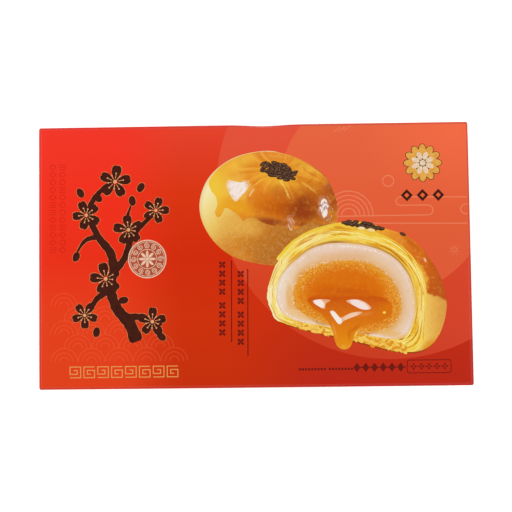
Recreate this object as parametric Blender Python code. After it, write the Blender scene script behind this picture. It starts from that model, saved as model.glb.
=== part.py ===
"""A shut paperboard carton for pastries, lying on its back panel with the printed front panel up.

The carton is one folded and glued blank. The front panel folds down at both short ends into a
closure panel, whose lower edge tucks in above the back panel. The long sides fold from the front
panel too. It is shut and can't be seen into, so it is one solid: its panels bow out a little, its
folds are rounded, and the gaps round the closure panels are narrow grooves.

X runs along the long folds, Y across the front panel, Z from the back panel to the front panel.
The origin is the middle of the back panel, on the surface that the carton lies on. Metres.
"""

from math import cos, pi

import bmesh
import bpy

# Driving dimensions
LENGTH = 0.220
WIDTH = 0.134
DEPTH = 0.050
BOARD = 0.0005

# Shape of the folded board
FOLD_RADIUS = 2.2 * BOARD
FOLD_SEGMENTS = 2
FRONT_CROWN = 0.0008
SIDE_BOW = 0.0006
END_BOW = 0.0004

# A shallow knock in the rear fold of the front panel, a little right of its middle
KNOCK_PLACE = 0.006
KNOCK_HALF_LENGTH = 0.018
KNOCK_REACH = 0.012
KNOCK_IN = 0.0007
KNOCK_DOWN = 0.0004

# Gaps between the closure panels and the raw board edges round them
GAP = 0.0005
GAP_DEPTH = 0.0016
GAP_TOP = DEPTH - 2 * FOLD_RADIUS

# The half-round thumb notch at each end of the back panel, and the ledge at the glued seam
NOTCH_RADIUS = 0.009
NOTCH_SIDES = 32
NOTCH_DEPTH = BOARD + GAP / 2
LEDGE_DEPTH = 0.0006
LEDGE_HEIGHT = 0.0009

# Grid of the panels
CELLS_X = 40
CELLS_Y = 12
CELLS_Z = 5

# How far a cutter stands out of the carton
CLEAR = 0.002


def clear_scene():
    """Removes what the scene holds at the start."""
    for obj in list(bpy.data.objects):
        bpy.data.objects.remove(obj)


def printed_board():
    """Gloss-laminated red board."""
    material = bpy.data.materials.new("printed_board")
    material.use_nodes = True
    surface = material.node_tree.nodes["Principled BSDF"]
    surface.inputs["Base Color"].default_value = (0.72, 0.05, 0.02, 1.0)
    surface.inputs["Roughness"].default_value = 0.32
    surface.inputs["Metallic"].default_value = 0.0
    return material


def hill(t):
    """1 at t = 0, falling smoothly to 0 at t = 1 and beyond, on either side."""
    return 0.5 * (1 + cos(pi * min(1.0, abs(t))))


def bowed(co):
    """Where a point of the plain box lies once its panels have bowed and the rear fold is knocked."""
    u = co.x / (LENGTH / 2)
    v = co.y / (WIDTH / 2)
    w = (co.z - DEPTH / 2) / (DEPTH / 2)
    x = co.x + u * END_BOW * (1 - v * v) * (1 - w * w) * (abs(u) > 0.999)
    y = co.y + v * SIDE_BOW * (1 - u * u) * (1 - w * w) * (abs(v) > 0.999)
    z = co.z
    if w > 0.999:
        z += FRONT_CROWN * (1 - u * u) * (1 - v * v)
    along = hill((co.x - KNOCK_PLACE) / KNOCK_HALF_LENGTH)
    across = hill((WIDTH / 2 - co.y) / KNOCK_REACH) * hill((DEPTH - co.z) / KNOCK_REACH)
    return x, y - KNOCK_IN * along * across, z - KNOCK_DOWN * along * across


def is_fold(edge):
    """True on the four folds round the front panel and on the front fold of the back panel."""
    a, b = (vert.co for vert in edge.verts)
    low = max(a.z, b.z) < 1e-6
    high = min(a.z, b.z) > DEPTH - 1e-6
    on_end = min(abs(a.x), abs(b.x)) > LENGTH / 2 - 1e-6
    on_side = min(abs(a.y), abs(b.y)) > WIDTH / 2 - 1e-6
    return (high and (on_end or on_side)) or (low and on_side and a.y < 0)


def sliced(bm, axis, size, cells, start):
    """Cuts the mesh across one axis into equal cells."""
    normal = [0, 0, 0]
    normal[axis] = 1
    for i in range(1, cells):
        point = [0, 0, 0]
        point[axis] = start + size * i / cells
        geometry = bm.verts[:] + bm.edges[:] + bm.faces[:]
        bmesh.ops.bisect_plane(bm, geom=geometry, plane_co=point, plane_no=normal)


def box_mesh(name, low, high):
    """A plain box between two corners."""
    bm = bmesh.new()
    bmesh.ops.create_cube(bm, size=1)
    for vert in bm.verts:
        for k in range(3):
            vert.co[k] = low[k] if vert.co[k] < 0 else high[k]
    mesh = bpy.data.meshes.new(name)
    bm.to_mesh(mesh)
    bm.free()
    return mesh


def carton_mesh():
    """The folded box: a grid of panels, bowed, with a bevel weight on each fold."""
    mesh = box_mesh("carton", (-LENGTH / 2, -WIDTH / 2, 0), (LENGTH / 2, WIDTH / 2, DEPTH))
    bm = bmesh.new()
    bm.from_mesh(mesh)
    sliced(bm, 0, LENGTH, CELLS_X, -LENGTH / 2)
    sliced(bm, 1, WIDTH, CELLS_Y, -WIDTH / 2)
    sliced(bm, 2, DEPTH, CELLS_Z, 0)
    weight = bm.edges.layers.float.new("bevel_weight_edge")
    for edge in bm.edges:
        edge[weight] = 1.0 if is_fold(edge) else 0.0
    for vert in bm.verts:
        vert.co = bowed(vert.co)
    bm.to_mesh(mesh)
    bm.free()
    return mesh


def cutter(mesh, collection):
    """A hidden object that the carton's Boolean takes away."""
    obj = bpy.data.objects.new(mesh.name, mesh)
    obj.hide_render = True
    obj.display_type = "WIRE"
    collection.objects.link(obj)
    return obj


def notch_mesh(end):
    """A short upright cylinder on the end edge of the back panel."""
    bm = bmesh.new()
    bmesh.ops.create_cone(
        bm, cap_ends=True, segments=NOTCH_SIDES, radius1=NOTCH_RADIUS, radius2=NOTCH_RADIUS, depth=1
    )
    for vert in bm.verts:
        vert.co.x += end * LENGTH / 2
        vert.co.z = NOTCH_DEPTH if vert.co.z > 0 else -CLEAR
    mesh = bpy.data.meshes.new(f"notch_cutter_{end:+d}")
    bm.to_mesh(mesh)
    bm.free()
    return mesh


def end_cutters(end, collection):
    """The gaps down both sides of one closure panel and under it, and the thumb notch."""
    inner = end * (LENGTH / 2 - GAP_DEPTH)
    outer = end * (LENGTH / 2 + CLEAR)
    low_x, high_x = min(inner, outer), max(inner, outer)
    panel_half = WIDTH / 2 - BOARD - GAP
    for side in (-1, 1):
        near, far = side * panel_half, side * (panel_half + GAP)
        low = (low_x, min(near, far), BOARD + GAP / 2)
        high = (high_x, max(near, far), GAP_TOP)
        cutter(box_mesh(f"gap_cutter_{end:+d}{side:+d}", low, high), collection)
    low = (low_x, -panel_half - GAP / 2, BOARD)
    high = (high_x, panel_half + GAP / 2, BOARD + GAP)
    cutter(box_mesh(f"tuck_cutter_{end:+d}", low, high), collection)
    cutter(notch_mesh(end), collection)


def seam_cutter(collection):
    """The ledge under the rear side panel, whose raw edge ends just above the glued fold."""
    low = (-LENGTH / 2 - CLEAR, WIDTH / 2 - LEDGE_DEPTH, -CLEAR)
    high = (LENGTH / 2 + CLEAR, WIDTH / 2 + CLEAR, LEDGE_HEIGHT)
    cutter(box_mesh("seam_cutter", low, high), collection)


def build_carton():
    """The carton, with its folds rounded and its gaps, notches and seam cut."""
    carton = bpy.data.objects.new("carton", carton_mesh())
    carton.data.materials.append(printed_board())
    bpy.context.scene.collection.objects.link(carton)

    cutters = bpy.data.collections.new("cutters")
    bpy.context.scene.collection.children.link(cutters)
    for end in (-1, 1):
        end_cutters(end, cutters)
    seam_cutter(cutters)

    folds = carton.modifiers.new("folds", "BEVEL")
    folds.limit_method = "WEIGHT"
    folds.width = FOLD_RADIUS
    folds.segments = FOLD_SEGMENTS

    cuts = carton.modifiers.new("cuts", "BOOLEAN")
    cuts.operation = "DIFFERENCE"
    cuts.solver = "EXACT"
    cuts.operand_type = "COLLECTION"
    cuts.collection = cutters
    return carton


clear_scene()
build_carton()
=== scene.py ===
"""The looks of a shut paperboard carton for pastries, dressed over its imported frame.

The carton lies on its back panel, with the printed front panel up. Its board is modelled again in
finer steps, and each ink of the print is a thin closed layer that follows the panel it lies on.
Sizes are in metres unless a name ends in _mm. The print is laid out in millimetres from the middle
of its panel, to the right and up as seen from outside.
"""

import logging
import math
import random
from collections.abc import Callable, Iterator, Sequence
from contextlib import contextmanager
from dataclasses import dataclass
from enum import Enum
from functools import cache

import bpy
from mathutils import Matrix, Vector


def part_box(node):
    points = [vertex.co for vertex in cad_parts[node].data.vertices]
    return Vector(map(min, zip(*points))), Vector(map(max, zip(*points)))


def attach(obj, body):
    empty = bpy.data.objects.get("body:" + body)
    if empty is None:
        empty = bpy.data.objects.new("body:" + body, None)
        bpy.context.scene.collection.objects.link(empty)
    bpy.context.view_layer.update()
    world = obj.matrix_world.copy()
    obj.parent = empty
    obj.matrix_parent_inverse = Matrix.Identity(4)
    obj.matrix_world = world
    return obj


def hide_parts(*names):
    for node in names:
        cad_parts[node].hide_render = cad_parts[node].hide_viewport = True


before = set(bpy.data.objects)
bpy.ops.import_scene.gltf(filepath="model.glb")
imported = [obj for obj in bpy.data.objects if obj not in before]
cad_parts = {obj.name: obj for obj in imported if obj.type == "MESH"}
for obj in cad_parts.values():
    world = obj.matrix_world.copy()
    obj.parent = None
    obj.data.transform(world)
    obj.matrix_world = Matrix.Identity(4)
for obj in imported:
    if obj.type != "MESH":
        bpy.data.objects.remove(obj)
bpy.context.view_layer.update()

log = logging.getLogger("carton")

MM = 0.001
BODY = "root"
NODE = "carton"

Point = tuple[float, float]
Outline = list[Point]
Colour = tuple[float, float, float, float]
Piece = bpy.types.Object
Material = bpy.types.Material
Socket = bpy.types.NodeSocket


def hex_colour(code: str) -> Colour:
    """Turns an sRGB hex colour into the linear colour that a shader takes.

    Args:
        code: Six hex digits, two for each of red, green and blue.

    Returns:
        The linear red, green, blue and an alpha of 1.
    """
    values = [int(code[i:i + 2], 16) / 255 for i in (0, 2, 4)]
    linear = [v / 12.92 if v <= 0.04045 else ((v + 0.055) / 1.055) ** 2.4 for v in values]
    return (*linear, 1.0)


def add_node(tree: bpy.types.NodeTree, kind: str, inputs: dict | None = None,
             **options: object) -> bpy.types.Node:
    """Adds one node, sets its options, and fills or links its inputs.

    Args:
        tree: The node tree that gets the node.
        kind: The node's type name.
        inputs: A value or an output socket for each input, by its name or number.
        **options: The node's own settings.

    Returns:
        The new node.
    """
    node = tree.nodes.new(kind)
    for option, value in options.items():
        setattr(node, option, value)
    for name, value in (inputs or {}).items():
        if isinstance(value, Socket):
            tree.links.new(value, node.inputs[name])
        else:
            node.inputs[name].default_value = value
    return node


class Panel(Enum):
    """A panel of the carton: the directions of its print across and up, and the way it faces."""

    FRONT = ((1, 0, 0), (0, 1, 0), (0, 0, 1))
    BACK = ((-1, 0, 0), (0, 1, 0), (0, 0, -1))
    LOWER_SIDE = ((1, 0, 0), (0, 0, 1), (0, -1, 0))
    UPPER_SIDE = ((-1, 0, 0), (0, 0, 1), (0, 1, 0))
    RIGHT_END = ((0, 1, 0), (0, 0, 1), (1, 0, 0))
    LEFT_END = ((0, -1, 0), (0, 0, 1), (-1, 0, 0))

    @property
    def across(self) -> Vector:
        """The direction of the print from left to right."""
        return Vector(self.value[0])

    @property
    def up(self) -> Vector:
        """The direction of the print from bottom to top."""
        return Vector(self.value[1])

    @property
    def out(self) -> Vector:
        """The direction that the panel faces."""
        return Vector(self.value[2])


def hill(t: float) -> float:
    """Is 1 at t = 0 and falls smoothly to 0 at t = 1 and beyond, on either side."""
    return 0.5 * (1 + math.cos(math.pi * min(1.0, abs(t))))


@dataclass(frozen=True)
class Shell:
    """The carton's outer form, a box whose panels bow out a little, with one knocked fold."""

    length: float
    width: float
    depth: float
    front_crown: float = 0.8 * MM
    side_bow: float = 0.6 * MM
    end_bow: float = 0.4 * MM
    knock_place: float = 6.0 * MM
    knock_half_length: float = 18.0 * MM
    knock_reach: float = 12.0 * MM
    knock_in: float = 0.7 * MM
    knock_down: float = 0.4 * MM

    ON_PANEL = 0.999

    @classmethod
    def of_node(cls, node: str) -> "Shell":
        """Measures the folded size on a node of the frame, without the bow of its panels.

        Args:
            node: The name of the carton's node.

        Returns:
            The shell, its size in whole millimetres.
        """
        low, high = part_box(node)
        size = high - low
        return cls(
            length=round(size.x - 2 * cls.end_bow, 3),
            width=round(size.y - 2 * cls.side_bow, 3),
            depth=round(size.z - cls.front_crown, 3),
        )

    def bowed(self, flat: Vector) -> Vector:
        """Moves a point of the plain box to where the bowed and knocked panel holds it.

        Args:
            flat: A point on the plain box.

        Returns:
            The same point on the real panel.
        """
        u = flat.x / (self.length / 2)
        v = flat.y / (self.width / 2)
        w = (flat.z - self.depth / 2) / (self.depth / 2)
        x, y, z = flat
        if abs(u) > self.ON_PANEL:
            x += u * self.end_bow * (1 - v * v) * (1 - w * w)
        if abs(v) > self.ON_PANEL:
            y += v * self.side_bow * (1 - u * u) * (1 - w * w)
        if w > self.ON_PANEL:
            z += self.front_crown * (1 - u * u) * (1 - v * v)
        along = hill((flat.x - self.knock_place) / self.knock_half_length)
        across = hill((self.width / 2 - flat.y) / self.knock_reach)
        across *= hill((self.depth - flat.z) / self.knock_reach)
        return Vector((x, y - self.knock_in * along * across, z - self.knock_down * along * across))

    def on(self, panel: Panel, place: Vector) -> Vector:
        """Finds the point of space for a place on a panel.

        Args:
            panel: The panel.
            place: Metres across, up and out, from the panel's middle.

        Returns:
            The point, on the bowed panel and raised from it by the place's third number.
        """
        half = Vector((self.length, self.width, self.depth)) / 2
        middle = Vector((0, 0, half.z)) + Vector(a * b for a, b in zip(panel.out, half))
        flat = middle + panel.across * place.x + panel.up * place.y
        return self.bowed(flat) + panel.out * place.z


# The tools of the bench: selecting, cutting, joining and finishing pieces


def only(piece: Piece) -> None:
    """Selects one piece alone and makes it active.

    Args:
        piece: The piece.
    """
    bpy.ops.object.select_all(action="DESELECT")
    piece.select_set(True)
    bpy.context.view_layer.objects.active = piece


@contextmanager
def editing(piece: Piece, mode: str = "FACE") -> Iterator[None]:
    """Holds a piece in edit mode with all of it selected.

    Args:
        piece: The piece to edit.
        mode: What is selected: VERT, EDGE or FACE.

    Yields:
        Nothing; the piece is back in object mode afterwards.
    """
    only(piece)
    bpy.ops.object.mode_set(mode="EDIT")
    bpy.ops.mesh.select_mode(type=mode)
    bpy.ops.mesh.select_all(action="SELECT")
    yield
    bpy.ops.object.mode_set(mode="OBJECT")


def worked(piece: Piece, kind: str, **settings: object) -> None:
    """Gives a piece one modifier and applies it.

    Args:
        piece: The piece to work.
        kind: The modifier's type.
        **settings: The modifier's settings.
    """
    only(piece)
    bpy.ops.object.modifier_add(type=kind)
    modifier = piece.modifiers[-1]
    for name, value in settings.items():
        setattr(modifier, name, value)
    bpy.ops.object.modifier_apply(modifier=modifier.name)


def joined(name: str, parts: Sequence[Piece]) -> Piece:
    """Joins parts into one piece.

    Args:
        name: The name of the piece.
        parts: The parts, which are used up.

    Returns:
        The piece.
    """
    only(parts[0])
    for part in parts[1:]:
        part.select_set(True)
    if len(parts) > 1:
        bpy.ops.object.join()
    parts[0].name = name
    parts[0].data.name = name
    return parts[0]


def sliced(piece: Piece, axis: int, step: float) -> None:
    """Cuts a mesh across one axis, so that no face is longer than a step.

    Args:
        piece: The piece to cut.
        axis: 0 to cut across X, 1 across Y, 2 across Z.
        step: The distance between cuts.
    """
    places = [vertex.co[axis] for vertex in piece.data.vertices]
    first, last = math.floor(min(places) / step) + 1, math.ceil(max(places) / step)
    normal = [0.0, 0.0, 0.0]
    normal[axis] = 1.0
    with editing(piece):
        for i in range(first, last):
            bpy.ops.mesh.select_all(action="SELECT")
            bpy.ops.mesh.bisect(plane_co=[i * step * n for n in normal], plane_no=normal)


def box(name: str, low: Sequence[float], high: Sequence[float]) -> Piece:
    """Adds a plain box between two corners, as a start or a cutter.

    Args:
        name: The name of the box.
        low: Its lowest corner.
        high: Its highest corner.

    Returns:
        The box, its place in its mesh.
    """
    bpy.ops.object.select_all(action="DESELECT")
    middle = [(a + b) / 2 for a, b in zip(low, high)]
    size = [b - a for a, b in zip(low, high)]
    bpy.ops.mesh.primitive_cube_add(size=1, location=middle, scale=size)
    piece = bpy.context.object
    bpy.ops.object.transform_apply(location=True, rotation=True, scale=True)
    piece.name = name
    return piece


def mounted(piece: Piece, finish: "Finish") -> Piece:
    """Dresses a finished piece and lets it ride on the carton's body.

    Args:
        piece: The piece.
        finish: Its finish, unless it already has materials of its own.

    Returns:
        The same piece.
    """
    if not piece.data.materials:
        piece.data.materials.append(material_of(finish))
    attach(piece, BODY)
    log.info("%s: %d faces, %s", piece.name, len(piece.data.polygons), piece.data.materials[0].name)
    return piece


# Lines and outlines, all in millimetres


def smooth(points: Sequence[Point], steps: int = 6, closed: bool = False) -> Outline:
    """Draws a smooth line through points.

    Args:
        points: The points that the line passes through.
        steps: The number of short lines between two points.
        closed: True for a line that ends where it starts.

    Returns:
        The points of the smooth line.
    """
    count = len(points)
    line = []
    for i in range(count if closed else count - 1):
        near = [points[(i + k) % count] if closed else points[min(max(i + k, 0), count - 1)]
                for k in (-1, 0, 1, 2)]
        for step in range(steps):
            t = step / steps
            weights = (
                (-t + 2 * t * t - t ** 3) / 2,
                (2 - 5 * t * t + 3 * t ** 3) / 2,
                (t + 4 * t * t - 3 * t ** 3) / 2,
                (-t * t + t ** 3) / 2,
            )
            line.append(tuple(sum(w * p[k] for w, p in zip(weights, near)) for k in (0, 1)))
    if not closed:
        line.append(points[-1])
    return line


def arc(centre: Point, radius: float, start_deg: float, end_deg: float, steps: int = 16) -> Outline:
    """Draws part of a circle in short lines, its angles counted from the right."""
    angles = [math.radians(start_deg + (end_deg - start_deg) * i / steps) for i in range(steps + 1)]
    return [(centre[0] + radius * math.cos(a), centre[1] + radius * math.sin(a)) for a in angles]


def oval(centre: Point, radii: Point, turn_deg: float = 0, sides: int = 24) -> Outline:
    """Draws an oval from its half length and half width, turned to the left."""
    angles = [2 * math.pi * i / sides for i in range(sides)]
    return moved([(radii[0] * math.cos(a), radii[1] * math.sin(a)) for a in angles], centre, turn_deg)


def rectangle(low: Point, high: Point) -> Outline:
    """Draws a rectangle between its lowest and its highest corner."""
    return [low, (high[0], low[1]), high, (low[0], high[1])]


def moved(outline: Sequence[Point], by: Point = (0, 0), turn_deg: float = 0, scale: float = 1) -> Outline:
    """Scales an outline, turns it to the left about the origin and then moves it."""
    c, s = math.cos(math.radians(turn_deg)) * scale, math.sin(math.radians(turn_deg)) * scale
    return [(by[0] + x * c - y * s, by[1] + x * s + y * c) for x, y in outline]


def stroke(line: Sequence[Point], widths: float | Sequence[float]) -> Outline:
    """Draws the outline of a stroke along a line.

    Args:
        line: The middle of the stroke.
        widths: Its width, or its width at each point.

    Returns:
        The outline, down one side of the line and back up the other.
    """
    if isinstance(widths, (int, float)):
        widths = [widths] * len(line)
    left, right = [], []
    for i, (x, y) in enumerate(line):
        before, after = Vector(line[max(i - 1, 0)]), Vector(line[min(i + 1, len(line) - 1)])
        here = Vector((x, y))
        one = (here - before).normalized() if i else (after - here).normalized()
        two = (after - here).normalized() if i < len(line) - 1 else one
        along = (one + two).normalized()
        reach = widths[i] / 2 / max(0.4, along.dot(one))
        left.append((x - along.y * reach, y + along.x * reach))
        right.append((x + along.y * reach, y - along.x * reach))
    return left + right[::-1]


def swelling(count: int, start: float, middle: float, end: float) -> list[float]:
    """Gives a brush stroke's widths, from its start over its middle to its end.

    Args:
        count: The number of widths.
        start: The first width.
        middle: The width half way.
        end: The last width.

    Returns:
        The widths.
    """
    widths = []
    for i in range(count):
        t = i / (count - 1)
        widths.append(start * (1 - t) * (1 - 2 * t) + 4 * middle * t * (1 - t) + end * t * (2 * t - 1))
    return widths


def ragged(outline: Sequence[Point], rough_mm: float, draw: random.Random) -> Outline:
    """Roughens an outline by a few seeded draws, as a dry brush or a torn flake does."""
    return [tuple(place + draw.uniform(-rough_mm, rough_mm) for place in point) for point in outline]


class Finish:
    """A finish of the carton, with the record's slot that it stands for."""

    slot = "picture_print"

    def material(self) -> Material:
        """Mixes the finish."""
        raise NotImplementedError


@cache
def material_of(finish: Finish) -> Material:
    """Mixes each finish once, however many pieces have it."""
    return finish.material()


class Print:
    """The shapes of one ink on one panel, cut flat and then laid on the carton."""

    LAYER = 0.012 * MM
    NUDGE = 0.0002 * MM
    SUNK = 0.03 * MM
    CELL = 8.0 * MM
    OWN_MAP = "own_map"

    def __init__(self, shell: Shell, panel: Panel, name: str, level: int, cell: float = CELL) -> None:
        """Starts with no shapes.

        Args:
            shell: The carton's form.
            panel: The panel that carries the ink.
            name: The name of the piece.
            level: How many layers of ink lie up to this one's top.
            cell: The largest face of the finished piece.
        """
        self.shell, self.panel, self.name = shell, panel, name
        self.height, self.cell = level * self.LAYER, cell
        self.parts: list[Piece] = []

    def cut(self, outline: Sequence[Point], lift: float = 0) -> Piece:
        """Cuts one flat shape.

        Args:
            outline: Its outline, in millimetres.
            lift: How much higher than the ink's own level it lies, in millimetres.

        Returns:
            The flat shape.
        """
        area = sum(a[0] * b[1] - b[0] * a[1] for a, b in zip(outline, [*outline[1:], outline[0]]))
        bpy.ops.object.select_all(action="DESELECT")
        bpy.ops.mesh.primitive_circle_add(vertices=len(outline), radius=MM, fill_type="NGON")
        part = bpy.context.object
        for vertex, (x, y) in zip(part.data.vertices, outline if area > 0 else outline[::-1]):
            vertex.co = (x * MM, y * MM, lift * MM + self.NUDGE * len(self.parts))
        part.data.update()
        if part.data.polygons[0].normal.z < 0:
            part.data.flip_normals()
        self.parts.append(part)
        return part

    def ring(self, centre: Point, radius: float, line: float, sides: int = 64) -> None:
        """Cuts a flat ring from its outer radius and the width of its line."""
        self.frame(oval(centre, (radius, radius), sides=sides), line)

    def frame(self, outline: Sequence[Point], line: float) -> None:
        """Cuts a flat frame, by insetting a shape and taking out its middle.

        Args:
            outline: The frame's outer edge.
            line: The width of its line.
        """
        with editing(self.cut(outline)):
            bpy.ops.mesh.inset(thickness=line * MM, depth=0)
            bpy.ops.mesh.delete(type="FACE")

    def copied(self, part: Piece, centre: Point, turn_deg: float = 0, scale: float = 1) -> None:
        """Adds a copy of a flat shape, turned about the panel's middle and then moved.

        Args:
            part: The shape, drawn round the panel's middle.
            centre: Where its middle goes.
            turn_deg: How far it turns to the left.
            scale: How much larger it gets.
        """
        only(part)
        bpy.ops.object.duplicate()
        copy = bpy.context.object
        places = moved([(v.co.x, v.co.y) for v in copy.data.vertices], (0, 0), turn_deg, scale)
        for vertex, (x, y) in zip(copy.data.vertices, places):
            vertex.co = (x + centre[0] * MM, y + centre[1] * MM, self.NUDGE * len(self.parts))
        self.parts.append(copy)

    def laid(self, finish: Finish,
             place_map: Callable[[float, float], Point] | None = None) -> Piece:
        """Joins the shapes, gives them the ink's thickness and lays them on the panel.

        Args:
            finish: The ink.
            place_map: What gives a flat place, in millimetres, its place on the piece's own map.

        Returns:
            The finished piece.
        """
        piece = joined(self.name, self.parts)
        with editing(piece):
            bpy.ops.mesh.quads_convert_to_tris(quad_method="BEAUTY", ngon_method="BEAUTY")
        for axis in (0, 1):
            sliced(piece, axis, self.cell)
        worked(piece, "SOLIDIFY", thickness=self.height + self.SUNK, offset=-1)
        if place_map:
            places = [place_map(v.co.x / MM, v.co.y / MM) for v in piece.data.vertices]
            own_map = piece.data.uv_layers.new(name=self.OWN_MAP)
            for loop in piece.data.loops:
                own_map.data[loop.index].uv = places[loop.vertex_index]
        for vertex in piece.data.vertices:
            vertex.co = self.shell.on(self.panel, vertex.co + Vector((0, 0, self.height)))
        piece.data.update()
        return mounted(piece, finish)


# Finishes


@dataclass(frozen=True)
class Laminate:
    """The gloss film over all print: clear polypropylene, hot-rolled onto the board.

    It gives the eye one even, slightly soft gloss, broken by the faint ripple of the board's
    fibres under the film.
    """

    ior: float = 1.49
    roughness_low: float = 0.18
    roughness_high: float = 0.24
    ripple_mm: float = 5.0
    fibre_mm: float = 0.9
    ripple_depth: float = 0.02 * MM
    fold_roughness: float = 0.95


class Recipe:
    """Mixes the colour of one finish from soft-edged fields laid over each other."""

    def __init__(self, name: str, base: str, follows_blank: bool = False) -> None:
        """Starts the finish with one colour.

        Args:
            name: The material's name.
            base: The first colour, as hex.
            follows_blank: True for print that runs on over the folds of the blank.
        """
        self.material = bpy.data.materials.new(name)
        self.material.use_nodes = True
        self.tree = self.material.node_tree
        self.tree.nodes.clear()
        self.place = add_node(self.tree, "ShaderNodeTexCoord").outputs["Object"]
        self.plan = self.place
        if follows_blank:
            self.plan = add_node(self.tree, "ShaderNodeUVMap", uv_map=Carton.BLANK_MAP).outputs["UV"]
        self.colour = add_node(self.tree, "ShaderNodeRGB").outputs[0]
        self.colour.default_value = hex_colour(base)

    def mapped(self) -> bpy.types.NodeOutputs:
        """Reads the two numbers of the piece's own map."""
        place = add_node(self.tree, "ShaderNodeUVMap", uv_map=Print.OWN_MAP).outputs["UV"]
        return add_node(self.tree, "ShaderNodeSeparateXYZ", {0: place}).outputs

    def math(self, operation: str, *values: float | Socket) -> Socket:
        """Works out one number from others."""
        inputs = dict(enumerate(values))
        return add_node(self.tree, "ShaderNodeMath", inputs, operation=operation).outputs[0]

    def vector(self, operation: str, inputs: dict) -> Socket:
        """Works out one vector from others."""
        return add_node(self.tree, "ShaderNodeVectorMath", inputs, operation=operation).outputs[0]

    def times(self, one: float | Socket, other: float | Socket) -> Socket:
        """Multiplies two numbers."""
        return self.math("MULTIPLY", one, other)

    def rest(self, share: Socket) -> Socket:
        """Gives what a share leaves of 1."""
        return self.math("SUBTRACT", 1.0, share)

    def eased(self, value: Socket, start: float, end: float) -> Socket:
        """Eases a number smoothly from 0 at its start to 1 at its end."""
        inputs = {"Value": value, "From Min": start, "From Max": end}
        return add_node(self.tree, "ShaderNodeMapRange", inputs, interpolation_type="SMOOTHSTEP").outputs[0]

    def along(self, direction: Point) -> Socket:
        """Measures metres along a direction of the print."""
        inputs = {0: self.plan, 1: (*Vector(direction).normalized(), 0)}
        return add_node(self.tree, "ShaderNodeVectorMath", inputs, operation="DOT_PRODUCT").outputs["Value"]

    def within(self, centre_mm: Point, radii_mm: Point, turn_deg: float = 0) -> Socket:
        """Measures the distance from an oval's centre: 1 is on the oval itself.

        Args:
            centre_mm: The oval's centre.
            radii_mm: Its half length and half width.
            turn_deg: How far it is turned to the left.

        Returns:
            The distance.
        """
        inputs = {
            "Vector": self.plan,
            "Location": (centre_mm[0] * MM, centre_mm[1] * MM, 0),
            "Rotation": (0, 0, math.radians(turn_deg)),
            "Scale": (radii_mm[0] * MM, radii_mm[1] * MM, 1e3),
        }
        local = add_node(self.tree, "ShaderNodeMapping", inputs, vector_type="TEXTURE").outputs[0]
        return add_node(self.tree, "ShaderNodeVectorMath", {0: local}, operation="LENGTH").outputs["Value"]

    def grain(self, size_mm: float, detail: float = 2, stretch: Sequence[float] = (1, 1, 1)) -> Socket:
        """Makes a random pattern.

        Args:
            size_mm: The size of its grain.
            detail: How much finer grain it also has.
            stretch: How much it is squeezed along each axis.

        Returns:
            The pattern, from 0 to 1.
        """
        inputs = {"Vector": self.place, "Scale": stretch}
        vector = add_node(self.tree, "ShaderNodeMapping", inputs, vector_type="POINT").outputs[0]
        inputs = {"Vector": vector, "Scale": 1 / (size_mm * MM), "Detail": detail, "Roughness": 0.55}
        return add_node(self.tree, "ShaderNodeTexNoise", inputs).outputs["Fac"]

    def ramp(self, value: Socket, stops: dict[float, str], unit: float = 1.0) -> Socket:
        """Turns a number into a colour that runs through stops.

        Args:
            value: The number.
            stops: A hex colour for each value from the lowest to the highest.
            unit: What one step of the stops stands for.

        Returns:
            The colour.
        """
        stops = {at * unit: code for at, code in stops.items()}
        low, high = min(stops), max(stops)
        inputs = {"Value": value, "From Min": low, "From Max": high}
        share = add_node(self.tree, "ShaderNodeMapRange", inputs).outputs[0]
        node = add_node(self.tree, "ShaderNodeValToRGB", {0: share})
        elements = node.color_ramp.elements
        while len(elements) < len(stops):
            elements.new(0.5)
        for element, (at, code) in zip(elements, sorted(stops.items())):
            element.position = (at - low) / (high - low)
            element.color = hex_colour(code)
        return node.outputs[0]

    def over(self, colour: str | Socket, mask: float | Socket, strength: float = 1.0) -> None:
        """Lays a colour over what is there.

        Args:
            colour: A hex colour, or a colour's socket.
            mask: Where it lies, from 0 to 1.
            strength: How much of it shows.
        """
        if strength < 1:
            mask = self.times(mask, strength)
        if isinstance(colour, str):
            colour = hex_colour(colour)
        inputs = {0: mask, 6: self.colour, 7: colour}
        self.colour = add_node(self.tree, "ShaderNodeMix", inputs, data_type="RGBA").outputs[2]

    def patch(self, colour: str | Socket, centre_mm: Point, radii_mm: Point, turn_deg: float = 0,
              strength: float = 1.0, edge: Point = (0.2, 1.0), rough: float = 0.0) -> None:
        """Lays a soft oval of colour.

        Args:
            colour: A hex colour, or a colour's socket.
            centre_mm: The oval's centre.
            radii_mm: Its half length and half width.
            turn_deg: How far it is turned to the left.
            strength: How much of it shows.
            edge: Where its edge starts and ends to fade, as a share of the radii.
            rough: How much a random pattern frays its edge.
        """
        far = self.within(centre_mm, radii_mm, turn_deg)
        if rough:
            fray = self.math("SUBTRACT", self.grain(0.6 * min(radii_mm) + 0.4, 2), 0.5)
            far = self.math("ADD", far, self.times(fray, 2 * rough))
        self.over(colour, self.rest(self.eased(far, edge[0], edge[1])), strength)

    def speckled(self, colour: str, size_mm: float, start: float, end: float, strength: float = 1.0,
                 mask: Socket | None = None) -> None:
        """Lays specks of colour where a random pattern is high.

        Args:
            colour: The specks' hex colour.
            size_mm: Their size.
            start: The pattern's value where they start to show.
            end: The value where they show whole.
            strength: How much of them shows.
            mask: Where they may lie.
        """
        specks = self.eased(self.grain(size_mm), start, end)
        if mask is not None:
            specks = self.times(specks, mask)
        self.over(colour, specks, strength)

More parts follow.
